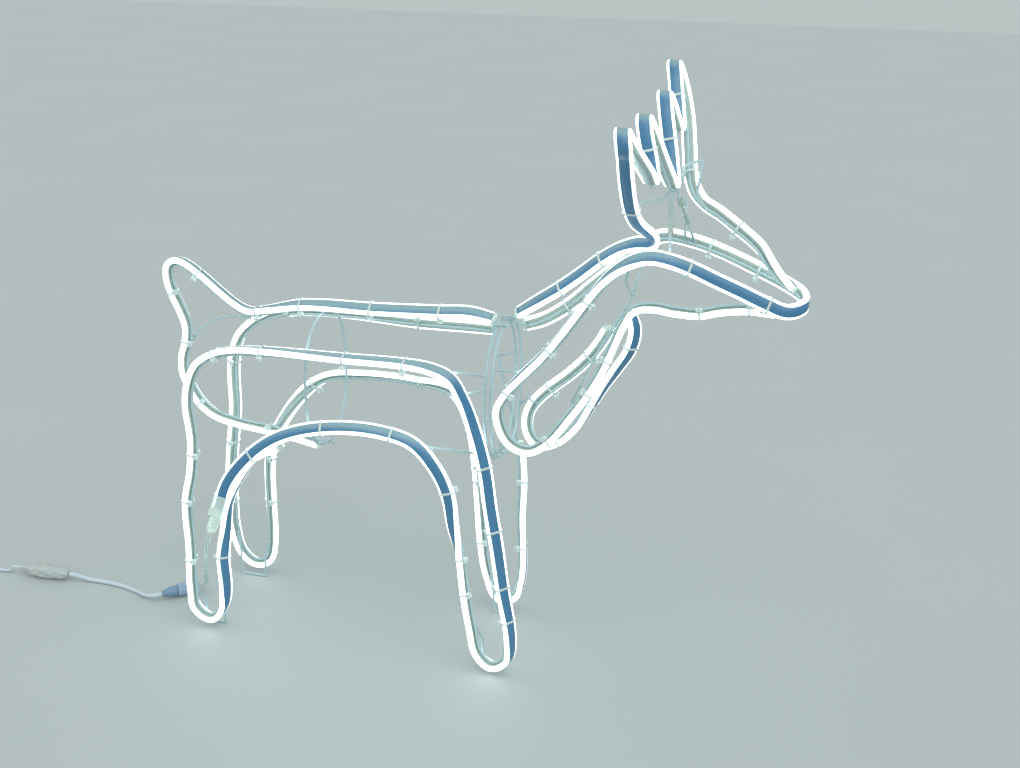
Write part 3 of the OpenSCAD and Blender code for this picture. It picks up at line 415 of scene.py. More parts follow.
# Painted light: the back of the white band is written pale grey-green, the glow of the strips around it
# painted on.
BAND_BACK_PAINTED_LIGHT = finish("band_back_painted_light", (0.47, 0.58, 0.53), (0.38, 0.49, 0.46), 20, (0.4, 0.55), 0.08)
GLOW = finish("glowing_edge", (0.95, 0.97, 0.96), (0.90, 0.95, 0.95), 40, (0.35, 0.45), 0.02,
              Emission_Color=(0.93, 1.0, 0.99, 1), Emission_Strength=1.9)
NYLON = finish("tie_nylon", (0.86, 0.96, 0.95), (0.78, 0.91, 0.90), 120, (0.2, 0.35), 0.1,
               Transmission_Weight=0.25, IOR=1.35)
# Painted glow: the strip caps, the lead's cap and its socket hold no lamp; a faint emission stands in for the
# strip light shining through them.
LIT_CLEAR = finish("lit_clear_plastic", (0.84, 0.95, 0.90), (0.76, 0.90, 0.84), 90, (0.08, 0.22), 0.15, 300,
                   Transmission_Weight=0.6, IOR=1.46, Emission_Color=(0.85, 1.0, 0.95, 1),
                   Emission_Strength=0.08)
CLEAR = finish("clear_plastic", (0.80, 0.91, 0.86), (0.72, 0.86, 0.80), 90, (0.08, 0.22), 0.15, 300,
               Transmission_Weight=0.7, IOR=1.46)
FILM = finish("clear_film", (0.86, 0.90, 0.87), (0.74, 0.80, 0.77), 160, (0.08, 0.3), 0.5, 260,
              Transmission_Weight=0.55, IOR=1.4)
JACKET = finish("cord_jacket", (0.60, 0.70, 0.75), (0.52, 0.63, 0.69), 60, (0.35, 0.5), 0.12)
LEAD = finish("lead_jacket", (0.68, 0.80, 0.80), (0.60, 0.73, 0.74), 80, (0.2, 0.35), 0.08)
NUT = finish("nut_plastic", (0.46, 0.64, 0.80), (0.38, 0.56, 0.74), 70, (0.2, 0.35), 0.1,
             Transmission_Weight=0.3)
PLUG = finish("plug_rubber", (0.20, 0.32, 0.45), (0.16, 0.27, 0.40), 80, (0.35, 0.5), 0.15)
SHELL = finish("adapter_shell", (0.70, 0.75, 0.76), (0.64, 0.70, 0.71), 60, (0.4, 0.55), 0.2, 1200)
BLADE = finish("blade_metal", (0.62, 0.63, 0.64), (0.54, 0.55, 0.57), 200, (0.2, 0.35), 0.1, Metallic=1.0)
print("finishes", len(bpy.data.materials))

# %% [markdown]
# ## The side panels' routes
# Each side is one long bend: over the arch, down the inside of the front leg, up its front, along the
# flank, down the rump and round the rear leg. A row holds x, z, the facing (forward, outboard, up) and
# how far the strip is set in from the panel. A mirror could make the far panel from the near one, but hand
# work is never quite alike, so the far panel has rows of its own.

# %% Side panels
BODY_W, FLANK_Z, ARCH_Z, FOOT_Z = 124.0, 337, 263, 13
SIDE_Y = BODY_W / 2
NEAR_TABLE = [
    [-151, 151, 0.3, 1, 0, 0], [-138, 183, 0, 1, 0.1, 0], [-109, 218, -0.2, 1, 0.3, 0],
    [-82, ARCH_Z - 24, -0.2, 1, 0.5, 0], [-50, ARCH_Z - 10, -0.1, 1, 0.7, 0],
    [-5, ARCH_Z - 1, 0, 0.9, 0.9, 0], [37, ARCH_Z - 1, 0.1, 0.8, 0.9, 0],
    [69, ARCH_Z - 9, 0.4, 0.9, 0.7, 0], [91, ARCH_Z - 31, 0.2, 1, 0.2, 0],
    [105, 204, 0, 1, 0, 0], [111, 166, -0.5, 0.9, 0, 0], [117, 132, -1, 0.3, 0, 0],
    [122, 92, -1, 0.1, 0, 0], [129, 51, -1, 0, 0, 0], [136, FOOT_Z + 8, -1, 0, -0.6, 0],
    [152, FOOT_Z - 5, 0, 0, -1, 0], [169, FOOT_Z + 5, 1, 0.2, -0.7, 0], [172, 40, 1, 0.5, 0, 0],
    [163, 104, 0.9, 0.9, 0, 0], [157, 150, 0.7, 1, 0, 0], [150, 194, 0.7, 1, 0, 0],
    [144, 237, 0.7, 1, 0.1, 0], [133, 278, 0.8, 0.8, 0.3, 0], [121, FLANK_Z - 28, 0.8, 0.5, 0.6, 0],
    [109, FLANK_Z - 9, 0.5, 0.5, 1, 0], [88, FLANK_Z - 1, 0.1, 0.4, 1, 0], [63, FLANK_Z + 1, 0, 0.2, 1, 0],
    [0, FLANK_Z, 0, 0.15, 1, 0], [-88, FLANK_Z - 1, 0, -0.1, 1, 0], [-116, FLANK_Z - 3, 0, -0.2, 1, 0],
    [-141, FLANK_Z - 9, -0.4, -0.1, 1, 0], [-161, FLANK_Z - 22, -1, 0, 1, 0],
    [-172, FLANK_Z - 42, -1, 0, 0.4, 0], [-177, 270, -1, 0, 0, 0], [-175, 230, -1, 0, 0, 0],
    [-179, 193, -1, 0, 0, 0], [-188, 155, -1, 0, 0, 0], [-189, 100, -1, 0, 0, 0],
    [-192, 45, -1, 0, 0, 0], [-189, FOOT_Z + 8, -1, 0, -0.8, 0], [-170, FOOT_Z - 2, 0, 0, -1, 0],
    [-156, FOOT_Z + 13, 1, 0, -0.5, 0], [-151, 52, 1, 0.6, 0, 0], [-153, 88, 0.8, 0.8, 0, 4],
    [-152, 118, 1, 0.3, 0, 13], [-148, 148, 1, 0, -0.2, 17], [-132, 180, 1, 0, -0.7, 17],
    [-113, 206, 0.8, 0, -1, 16], [-84, 223, 0.5, 0, -1, 16]
]
FAR_TABLE = [
    [116, FLANK_Z + 1, 0.1, 1, 0.3, 0], [92, FLANK_Z + 1, 0, 1, 0.2, 0], [36, FLANK_Z, 0, 1, 0.2, 0],
    [-55, FLANK_Z + 2, 0, 1, 0.7, 0], [-115, FLANK_Z - 2, 0, 0.8, 0.6, 0],
    [-145, FLANK_Z - 10, -0.4, 0.4, 1, 0], [-164, FLANK_Z - 22, -1, 0.3, 1, 0],
    [-177, FLANK_Z - 38, -1, 0.4, 0.4, 0], [-186, 270, -0.9, 0.6, 0, 0],
    [-189, 209, -0.9, 0.6, 0, 0], [-195, 170, -0.9, 0.6, 0, 0], [-200, 131, -0.9, 0.6, 0, 0],
    [-202, 92, -1, 0.5, 0, 0], [-201, 52, -1, 0.3, 0, 0], [-193, FOOT_Z + 11, -1, 0, -0.7, 0],
    [-176, FOOT_Z - 1, 0, 0, -1, 0], [-158, FOOT_Z + 7, 0.9, 0.3, -0.6, 0], [-153, 46, 0.6, 0.9, 0, 0],
    [-152, 99, 0.5, 1, 0, 0], [-151, 138, 0.5, 1, 0, 0], [-146, 172, 0.5, 1, 0, 0],
    [-129, 205, 0.3, 1, 0, 0], [-109, 233, 0.1, 1, 0.4, 0], [-89, ARCH_Z - 10, 0, 0.7, 0.7, 0],
    [-68, ARCH_Z + 2, 0, 0.6, 0.9, 0], [-40, ARCH_Z + 7, 0, 0.5, 0.9, 0], [35, ARCH_Z + 7, 0, 0.5, 0.9, 0],
    [69, ARCH_Z, 0, 0.8, 0.6, 0], [85, ARCH_Z - 16, -0.5, 1, 0.1, 0], [94, 219, -0.7, 0.8, 0, 0],
    [99, 184, -0.8, 0.6, 0, 0], [102, 135, -0.9, 0.4, 0, 0], [104, 85, -1, 0.1, 0, 0],
    [111, 41, -1, 0, -0.2, 0],
    [125, FOOT_Z + 1, -0.2, 0, -1, 0], [143, FOOT_Z + 5, 0.7, 0, -1, 0], [151, 40, 1, 0, 0, 0],
    [151, 130, 1, 0.3, 0, 0], [152, 167, 1, 0.4, 0, 0], [149, 208, 1, 0.4, 0, 0],
    [143, 245, 1, 0.4, 0, 0], [134, 280, 1, 0.4, 0.2, 0], [127, 310, 1, 0.2, 0.4, 0],
    [120, 325, 0.8, 0.2, 0.6, 0]
]
FAR_BARE = 4  # rows at the far panel's end where the wire goes on without its strip


def side_route(side, table):
    return Route([[x, side * (SIDE_Y - inset), z, fx, side * fy, fz] for x, z, fx, fy, fz, inset in table])


near_side = side_route(-1, NEAR_TABLE)
far_side = side_route(1, FAR_TABLE)
far_end = far_side.last - FAR_BARE
print("side routes", near_side.last + 1, far_side.last + 1, "rows")

# %% [markdown]
# ## The lead, the cord and the cable
# The power comes in at the rear: a twin lead falls from the first strip to an in-line connector on the
# floor, then a round cord runs to a joint wrapped in clear film, and a thin cable leaves the picture.
# What the picture doesn't show is wound into a small coil outside it. A cord could be a simulated rope,
# but this one lies still on a floor, so a few listed points and the coil's formula give its line.

# %% Places along the lead
LEAD_D, CORD_D, CABLE_D = 2.4, 5.0, 3.6
RING_D, RING_L, LINE_L, PLUG_L, RELIEF_L = 15.0, 10.0, 14.0, 6.0, 11.0
CAP_LENGTH, CAP_DEPTH, SOCKET_L = 26.0, 16.0, 22.0
JOINT_D, JOINT_L = 19.0, 62.0
FLOOR_GAP = 0.3
lead_start, lead_along, _ = near_side.stop(0)
lead_from = lead_start - lead_along * (CAP_LENGTH - CAP_DEPTH + SOCKET_L + 2 * SEAT_GAP)
line_start = point(-222, 1, RING_D / 2 + FLOOR_GAP)
line_way = unit(np.array([-18.0, -17.0, 0.0]))
plug_end = LINE_L + RING_L + 3 * SEAT_GAP + PLUG_L + RELIEF_L + SEAT_GAP
cord_from = line_start + line_way * plug_end
joint_from = point(-379, -20, JOINT_D / 2)
joint_way = unit(np.array([-60.0, -3.0, 0.0]))
up = np.array([0.0, 0.0, 1.0])


def loose(points, facing=(0.1, 0.2, 1.0)):
    """Rings of a smooth line through loose points."""
    rows = [[p[0] + MID_X, p[1], p[2], *facing] for p in points]
    return Route(rows).rings(step=2.0)


def length_of(places):
    return float(sum(np.linalg.norm(b - a) for a, b in zip(places, places[1:])))


print("lead leaves the strip at", np.round(lead_from, 1))

# %% Twin lead
lead_rings = loose(
    [lead_from, lead_from - lead_along * 10, point(-181, -45, 84), point(-193, -28, 58), point(-203, -12, 36),
     point(-210, 0, 19), point(-214, 5, 11), line_start - line_way * 5, line_start - line_way * 3 * SEAT_GAP],
    facing=(0.2, 1.0, 0.5),
)
apart = (LEAD_D + SEAT_GAP) / 2
pair = [[(u + side * apart, v) for u, v in circle(LEAD_D)] for side in (-1, 1)]
twin_lead = swept_piece("twin_lead_wires", lead_rings, pair, LEAD, "body", ["twin_lead"])

# %% Round cord
CORD_Z = CORD_D / 2 + FLOOR_GAP
cord_rings = loose(
    [cord_from, cord_from + line_way * 8, point(-272, -31, CORD_Z + 2), point(-287, -24, CORD_Z),
     point(-312, -17, CORD_Z), point(-336, -15, CORD_Z), point(-356, -16, CORD_Z + 1),
     joint_from - joint_way * 10 - up, joint_from - joint_way * SEAT_GAP]
)
cord = swept_piece("round_cord", cord_rings, [circle(CORD_D, 16)], JACKET, "body", ["cord"])

# %% Crumpled film round the joint
# The wrap is a spindle whose radius is broken into folds by a few waves that don't repeat together.
FILM_STEPS, FILM_SIDES = 72, 56
FOLD_LOW, FOLD_DEPTH = 0.74, 0.25
CORE_D, CORE_STEPS = CORD_D + 1.5, 20
spindle = [(0, 4), (8, 7.5), (22, 9), (36, 9), (48, 7.5), (JOINT_L, 3)]
film_side = square_to(np.array([0.0, 1.0, 0.0]), joint_way)
bm = bmesh.new()
skin = []
for i in range(FILM_STEPS + 1):
    s = JOINT_L * i / FILM_STEPS
    radius = np.interp(s, *zip(*spindle))
    ring = []
    for k in range(FILM_SIDES):
        a = 2 * math.pi * k / FILM_SIDES
        fold = abs(math.sin(2.5 * a + s / 7)) * 0.5 + abs(math.sin(4 * a - s / 4.3 + 1)) * 0.3
        fold += 0.2 * abs(math.sin(s / 2.1 + 3 * math.sin(a)))
        r = radius * (FOLD_LOW + FOLD_DEPTH * fold)
        out = film_side * math.cos(a) + up * math.sin(a)
        ring.append(bm.verts.new((joint_from + joint_way * s + out * r) * MM))
    skin.append(ring)
skin_over(bm, skin)
film = make_piece("film_wrap", bm, [FILM], "body", ["film_joint"])
core = [joint_from + joint_way * s for s in np.linspace(1, JOINT_L - 1, CORE_STEPS)]
joint_core = swept_piece("joint_core", carried(core), [circle(CORE_D, 16)], JACKET, "body")
print("film wrap", len(film.data.polygons), "faces")

# %% Thin cable and its coil
COIL_TURNS, COIL_LAYERS, COIL_R, COIL_GAP, COIL_LIFT = 2, 4, 22.0, 0.6, 0.5
COIL_STEPS, COIL_TAIL, COIL_TAIL_STEPS = 48, 34, 17
coil_pitch = CABLE_D + COIL_GAP
coil_out = COIL_R + coil_pitch * COIL_TURNS / 2
coil_z = TIE_T + COIL_LIFT + CABLE_D / 2
coil_mid = point(-540, -24 - coil_out, 0)


def coil_point(t):
    """The coil spirals in and out again and climbs a layer in the half turn where it reverses."""
    wave = (t / COIL_TURNS) % 2
    radius = coil_out - coil_pitch * COIL_TURNS * (wave if wave <= 1 else 2 - wave)
    rise = 0.0
    for k in range(1, COIL_LAYERS):
        f = min(1.0, max(0.0, (t - k * COIL_TURNS + 0.25) / 0.5))
        rise += coil_pitch * smooth(f)
    a = math.pi / 2 + 2 * math.pi * t
    return coil_mid + np.array([radius * math.cos(a), radius * math.sin(a), coil_z + rise])


joint_end = joint_from + joint_way * (JOINT_L + SEAT_GAP)
run_in = loose(
    [joint_end, joint_end + joint_way * (10 - SEAT_GAP),
     point(-458, -23.5, CABLE_D), point(-480, -24, coil_z),
     point(-510, -24, coil_z), coil_mid + np.array([CABLE_D, coil_out, coil_z])]
)
turns = [coil_point(k / COIL_STEPS) for k in range(COIL_STEPS * COIL_TURNS * COIL_LAYERS + 1)]
tail_way = np.array([-COIL_TAIL, 0, 0])
tail = [turns[-1] + tail_way * k / COIL_TAIL_STEPS for k in range(1, COIL_TAIL_STEPS + 1)]
cable_places = [place for place, _, _ in run_in] + turns + tail
cable = swept_piece("thin_cable", carried(cable_places), [circle(CABLE_D)], JACKET, "body",
                    ["cable", "coil"])

# %% [markdown]
# ## The other routes
# The back strip draws back, tail, rump and belly in the middle plane. The head has three: the face strip
# goes from the far neck round the nose to the near neck, the throat and the jaw; the throat strip is its
# far partner; the crown strip climbs the nape, zigzags as antlers and comes down the forehead. Each antler
# point could be typed row by row, but points and valleys repeat, so two small functions make their rows.

# %% Back
BACK_ROWS = [
    [148, 0, 368, 0, -0.2, 1], [134, 0, 371, 0, -0.5, 1], [111, 0, 375, 0, -0.8, 1],
    [79, 0, 373, 0, -0.8, 1], [5, 0, 369, 0, -0.7, 1], [-47, 0, 368, 0, -0.5, 1], [-72, 0, 366, 0, -0.4, 1],
    [-112, 0, 357, 0, 0, 1], [-130, 0, 354, 0, 0.1, 1], [-144, 0, 359, 0.5, 0.2, 1],
    [-161, 0, 371, 0.6, 0.2, 0.8], [-185, 0, 390, 0.6, 0.2, 0.8], [-201, 0, 400, 0.3, 0.2, 1],
    [-210, 0, 402, 0, 0.2, 1], [-219, 0, 397, -0.8, 0.1, 0.5], [-222, 0, 384, -1, 0, 0],
    [-218, 0, 366, -1, 0, -0.2], [-210, 0, 347, -1, 0, -0.3], [-205, 0, 330, -1, 0, 0],
    [-207, 0, 313, -1, 0, 0], [-213, 0, 293, -1, 0, 0], [-213, 0, 275, -1, 0, 0],
    [-207, 0, 260, -1, 0, -0.6], [-196, 0, 242, -1, 0, -1], [-180, 0, 230, -0.5, 0, -1],
    [-152, 0, 223, 0, 0, -1], [-116, 0, 219, 0, 0, -1], [-81, 0, 214, 0, 0, -1], [-60, 0, 210, 0, 0, -1],
    [-43, 0, 208, 0, 0, -1]
]
back = Route(BACK_ROWS)
back_end = back.last - 1
print("back has", back.last + 1, "rows")

# %% Face and throat
FACE_ROWS = [
    [160, 33, 357, 0, 1, 0.2], [176, 40, 361, 0, 1, 0], [200, 45, 376, 0, 1, 0],
    [226, 48, 400, 0, 1, 0], [253, 49, 425, 0, 1, 0.2], [272, 48, 442, 0, 1, 0.3],
    [292, 46, 456, 0, 1, 0.3], [321, 42, 455, 0, 1, 0.3], [351, 34, 449, 0, 1, 0.3],
    [390, 22, 437, 0, 1, 0.2], [415, 15, 428, 0.1, 1, 0.1], [430, 9, 421, 0.7, 0.7, 0],
    [435, 0, 416, 1, 0, 0], [430, -9, 412, 0.7, -0.7, 0], [419, -14, 410, 0.1, -1, 0.2],
    [402, -20, 417, 0, -1, 0.4], [377, -28, 430, 0, -1, 0.4], [354, -34, 441, 0, -1, 0.4],
    [331, -40, 452, 0, -1, 0.6], [314, -44, 458, 0, -1, 0.8], [296, -47, 461, 0, -1, 0.8],
    [283, -50, 458, -0.3, -0.8, 0.8], [268, -52, 449, -0.7, -0.4, 0.8], [252, -51, 433, -1, -0.2, 0.8],
    [240, -50, 416, -1, -0.1, 0.8], [213, -50, 376, -0.8, -0.1, 0.8], [195, -50, 353, -0.8, -0.2, 1],
    [176, -49, 332, -0.8, -0.2, 0.8], [163, -48, 316, -1, -0.1, 0.6], [153, -47, 296, -1, 0, 0],
    [156, -47, 275, -1, 0, -0.4], [166, -46, 259, -0.6, 0, -1], [184, -43, 252, 0, 0, -1],
    [202, -38, 262, 0.4, 0, -1], [221, -30, 286, 0.8, 0, -1], [237, -20, 309, 1, 0, -0.8],
    [249, -13, 331, 1, 0, -0.6], [259, -10, 356, 1, 0, -0.4], [267, -8, 377, 1, 0, -0.2],
    [276, -4, 393, 0.8, 0, -0.6], [292, 0, 397, 0.1, 0, -1], [315, 0, 395, 0, 0, -1],
    [339, 0, 395, 0, 0, -1], [357, 0, 400, 0, 0, -1], [385, 0, 404, 0, 0, -1], [408, 0, 403, 0, 0, -1]
]
THROAT_ROWS = [
    [270, 13, 385, 1, -0.3, 0.4], [275, 13, 370, 1, -0.7, 0], [272, 13, 350, 1, -0.9, -0.3],
    [258, 14, 325, 1, -0.8, -0.6], [246, 15, 305, 1, -0.5, -0.6], [235, 17, 284, 1, -0.3, -0.8],
    [220, 21, 257, 0.8, -0.1, -1], [200, 26, 235, 0.5, 0, -1], [180, 32, 225, 0.2, 0, -1],
    [168, 37, 227, -0.5, 0, -1], [161, 40, 240, -1, 0.3, -0.3], [162, 42, 256, -1, 0.6, 0.2],
    [171, 43, 272, -0.6, 1, 0.6], [185, 44, 286, -0.5, 1, 0.5], [205, 43, 304, -0.5, 1, 0.5],
    [227, 37, 329, -0.6, 1, 0.4], [238, 33, 346, -0.7, 1, 0.4], [246, 30, 361, -0.8, 1, 0.3]
]
face, throat = Route(FACE_ROWS), Route(THROAT_ROWS)
print("face has", face.last + 1, "rows, throat", throat.last + 1)

# %% Crown
ANTLER_X, ANTLER_Y, ANTLER_LOW = 306, 101, 518
ANTLER_TILT, ANTLER_LEAN, ANTLER_TURN = 0.115, 0.28, 0.04
INNER_Y, VALLEY_Y = 42, 64
TIP_HALF, TIP_DROP, VALLEY_RISE = 8, 11, 9


def antler_height(rise):
    return ANTLER_LOW + rise


def antler_row(y, z, fy, fz):
    """A row on the antlers' plane, which leans back and is a little askew."""
    return [ANTLER_X - ANTLER_LEAN * (z - ANTLER_LOW) + ANTLER_TURN * y, y, z + ANTLER_TILT * y, 0, fy, fz]


def antler_point(y, rise, set_back=0):
    side = antler_height(rise - TIP_DROP)
    rows = [antler_row(y - TIP_HALF, side, -1, 0.2), antler_row(y, antler_height(rise), 0, 1),
            antler_row(y + TIP_HALF, side, 1, 0.2)]
    return [[x - set_back, *rest] for x, *rest in rows]


def antler_valley(y, rise):
    side = antler_height(rise + VALLEY_RISE)
    return [antler_row(y - TIP_HALF, side, 1, 0.4), antler_row(y, antler_height(rise), 0, 1),
            antler_row(y + TIP_HALF, side, -1, 0.4)]


NAPE_ROWS = [
    [161, 0, 380, -0.5, -0.6, 1], [182, 0, 395, -0.5, -1, 1], [202, 0, 409, -0.5, -1.1, 1],
    [222, 0, 425, -0.5, -1.1, 1], [241, 0, 441, -0.5, -1, 1], [259, 0, 453, -0.4, -0.9, 1],
    [276, -2, 460, -0.2, -1, 0.7], [292, -9, 464, -0.3, -0.8, 0.6], [291, -20, 474, -0.3, -1, 0.1],
    [281, -36, 488, -0.2, -1, 0], [278, -52, 503, -0.1, -1, 0], [277, -79, antler_height(19), 0, -1, 0.2],
    [278, -96, antler_height(42), 0, -1, 0.2]
]
FOREHEAD_ROWS = [
    [303, 94, antler_height(47), 0, 1, 0], [309, 78, antler_height(19), 0, 1, 0],
    [314, 62, 515, 0, 1, 0.1],
    [321, 49, 502, 0, 1, 0.2], [332, 36, 494, 0.1, 1, 0.3], [349, 20, 489, 0.1, 1, 0.3],
    [369, 7, 479, 0.2, 1, 0.4], [388, 2, 466, 0.4, 1, 0.5], [402, 0, 450, 0.7, 0.5, 0.6],
    [413, 0, 438, 0.8, 0.2, 0.6], [422, 0, 430, 0.8, 0, 0.6]
]
crown_rows = [
    *NAPE_ROWS,
    *antler_point(-ANTLER_Y, 77, 4), *antler_valley(-VALLEY_Y, 24), *antler_point(-INNER_Y, 72),
    *antler_valley(0, 0),
    *antler_point(INNER_Y, 70), *antler_valley(VALLEY_Y, 33), *antler_point(ANTLER_Y, 83),
    *FOREHEAD_ROWS,
]
crown = Route(crown_rows)
nape_end = len(NAPE_ROWS)
low_row, brow_row = nape_end + 10, nape_end + 21  # the middle valley's low row, the forehead's first row
print("crown has", crown.last + 1, "rows")

# %% [markdown]
# ## The light strip
# The strip is extruded plastic: an opaque band with a milky half-round edge on each side, lit from within.
# One outline could serve with three colours, but the band and the edges are separate solids of the part,
# so they stay separate here too. A shallow groove keeps them apart, as the two plastics are on the real
# strip. The white band takes a deep blue of painted shade on the face that looks out and a pale grey-green of
# painted light on the back, where the wire is.

# %% Outlines of band and edge
GROOVE, BAND_EASE = 0.18, 0.3
EDGE_POINTS, EDGE_POWER, EDGE_EASE, EDGE_FLAT, EDGE_SPARE = 13, 2.5, 0.4, 0.3, 0.01
EDGE_ROUND = GLOW_W - GROOVE / 2 - EDGE_FLAT - EDGE_SPARE
BAND_FACE_SIDES = (3, 4, 5)


def band_outline():
    """The band, with its corners eased: first its back, then a flank, its face and the other flank."""
    b, h, e = BAND_HALF - GROOVE / 2, STRIP_HALF_T, BAND_EASE
    return [(-b + e, -h), (b - e, -h), (b, -h + e), (b, h - e),
            (b - e, h), (-b + e, h), (-b, h - e), (-b, -h + e)]


# Face sides take the painted-shade blue, the other sides the painted-light grey-green of the back.
def band_finish(side):
    return 0 if side in BAND_FACE_SIDES else 1


def signed_power(v, e):
    return math.copysign(abs(v) ** e, v)


def edge_outline(side):
    """The milky edge: a half round that is a little fuller than a circle."""
    root, power = BAND_HALF + GROOVE / 2, 2 / EDGE_POWER
    outline = [(root, -STRIP_HALF_T + EDGE_EASE), (root, STRIP_HALF_T - EDGE_EASE)]
    for k in range(EDGE_POINTS):
        a = math.pi / 2 - math.pi * k / (EDGE_POINTS - 1)
        outline.append((root + EDGE_FLAT + EDGE_ROUND * signed_power(math.cos(a), power),
                        STRIP_HALF_T * signed_power(math.sin(a), power)))
    return [(u * side, v) for u, v in outline]


print("band", len(band_outline()), "points, edge", len(edge_outline(1)), "points")


# %% Strips and their wires
def lay_strip(name, route, body, strip=None):
    """Band, glowing edges and carrying wire of one route; strip limits the plastic to some rows."""
    first, last = strip or (0, route.last)
    plastic = route.rings(first, last)
    bm = bmesh.new()
    swept(bm, plastic, band_outline(), finish_of=band_finish)
    make_piece(name + "_band", bm, [SHADED_BAND_FACE, BAND_BACK_PAINTED_LIGHT], body, [name + "_strip"])
    swept_piece(name + "_edges", plastic, [edge_outline(-1), edge_outline(1)], GLOW, body,
                [name + "_glow"])
    swept_piece(name + "_carrier", route.rings(), [circle(WIRE_D, outward=-WIRE_OFF)], SHADED_WIRE_PAINT, body,
                [name + "_wire"])
    print(name, "strip of", round(length_of([r[0] for r in plastic]) * MM, 2), "m")


lay_strip("near_side", near_side, "body")
lay_strip("far_side", far_side, "body", (0, far_end))
lay_strip("back", back, "body", (1, back_end))
lay_strip("face", face, "head")
lay_strip("throat", throat, "head")
lay_strip("crown", crown, "head")

# %% [markdown]
# ## Cable ties
# Each tie is a nylon strap round strip and wire, with a small head and a cut tail behind. One tie could be
# an instance placed many times; the strap is so small that a swept loop for each place is as cheap, and it
# then fits the strip's tilt exactly. The loop is drawn in towards the wire, as a pulled tie is.

# %% Tie tools
LEAST_TURN, BEND_SHARE = 0.02, 0.45


def rounded(corners, radius, closed=True, steps=5):
    """A path of straight runs with round corners, through points in the plane or in space."""
    corners = [np.array(c, float) for c in corners]
    path = []
    for i, c in enumerate(corners):
        if not closed and i in (0, len(corners) - 1):
            path.append(c)
            continue
        before, after = corners[i - 1], corners[(i + 1) % len(corners)]
        u, v = unit(c - before), unit(after - c)
        turn = math.acos(float(np.clip(u @ v, -1, 1)))
        if turn < LEAST_TURN:
            path.append(c)
            continue
        w = unit(v - u * (u @ v))
        room = BEND_SHARE * min(np.linalg.norm(c - before), np.linalg.norm(after - c))
        lead = min(radius * math.tan(turn / 2), room)
        r = lead / math.tan(turn / 2)
        for k in range(steps + 1):
            f = turn * k / steps
            path.append(c - u * lead + r * (u * math.sin(f) + w * (1 - math.cos(f))))
    return path


def block(bm, middle, axes, size, ease):
    """A small moulded block with eased edges, set along three axes."""
    cube = bmesh.ops.create_cube(bm, size=1.0)["verts"]
    turn = Matrix([[*axis] for axis in axes]).transposed()
    for v in cube:
        v.co = turn @ Vector([c * s for c, s in zip(v.co, size)]) * MM + Vector(middle * MM)
    edges = list({e for v in cube for e in v.link_edges})
    bmesh.ops.bevel(bm, geom=edges, offset=ease * MM, segments=2, affect="EDGES", profile=0.5)


print("tie tools ready")


# %% Ties
def tie_loop():
    """The middle line of the strap in the strip's own plane: wide over the strip, narrow at the wire."""
    wide, high = STRIP_W / 2 + SEAT_GAP + TIE_T / 2, STRIP_HALF_T + SEAT_GAP + TIE_T / 2
    low, narrow = WIRE_OFF + WIRE_D / 2 + SEAT_GAP + TIE_T / 2, WIRE_D / 2 + 2 * SEAT_GAP + TIE_T / 2
    return [(-wide, high), (-wide, -high), (-narrow, -low), (narrow, -low), (wide, -high), (wide, high)]


STRAP_HALF_T, TIE_BEND = 0.35, 1.6
STRAP = [(-TIE_W / 2, -STRAP_HALF_T), (TIE_W / 2, -STRAP_HALF_T),
         (TIE_W / 2, STRAP_HALF_T), (-TIE_W / 2, STRAP_HALF_T)]
TIE_HEAD_SIZE, TIE_HEAD_EASE, TIE_HEAD_SHARE, TIE_HEAD_OUT = (3.6, 3.4, TIE_HEAD), 0.7, 0.35, 1.7
TIE_TAIL_SIZE, TIE_TAIL_EASE, TIE_TAIL_OUT = (TIE_T, 2.6, TIE_W - 0.4), 0.25, 2.2


def add_tie(bm, stop):
    """Strap, head and tail; the head sits on the slant between strip and wire."""
    place, along, facing = stop
    wide = np.cross(along, facing)
    loop = [place + wide * u + facing * v for u, v in rounded(tie_loop(), TIE_BEND)]
    rings = []
    for i, p in enumerate(loop):
        way = unit(loop[(i + 1) % len(loop)] - loop[i - 1])
        rings.append((p, way, unit(np.cross(way, along))))
    swept(bm, rings, STRAP, closed=True)
    a, b = np.array(tie_loop()[1]), np.array(tie_loop()[2])
    seat, slant = a * (1 - TIE_HEAD_SHARE) + b * TIE_HEAD_SHARE, unit(b - a)
    out = np.array([slant[1], -slant[0]]) if slant[1] * seat[0] > 0 else np.array([-slant[1], slant[0]])
    axis_s, axis_o = wide * slant[0] + facing * slant[1], wide * out[0] + facing * out[1]
    head = place + wide * seat[0] + facing * seat[1] + axis_o * TIE_HEAD_OUT
    block(bm, head, (axis_s, axis_o, along), TIE_HEAD_SIZE, TIE_HEAD_EASE)
    block(bm, head + axis_o * TIE_TAIL_OUT, (axis_s, axis_o, along), TIE_TAIL_SIZE, TIE_TAIL_EASE)


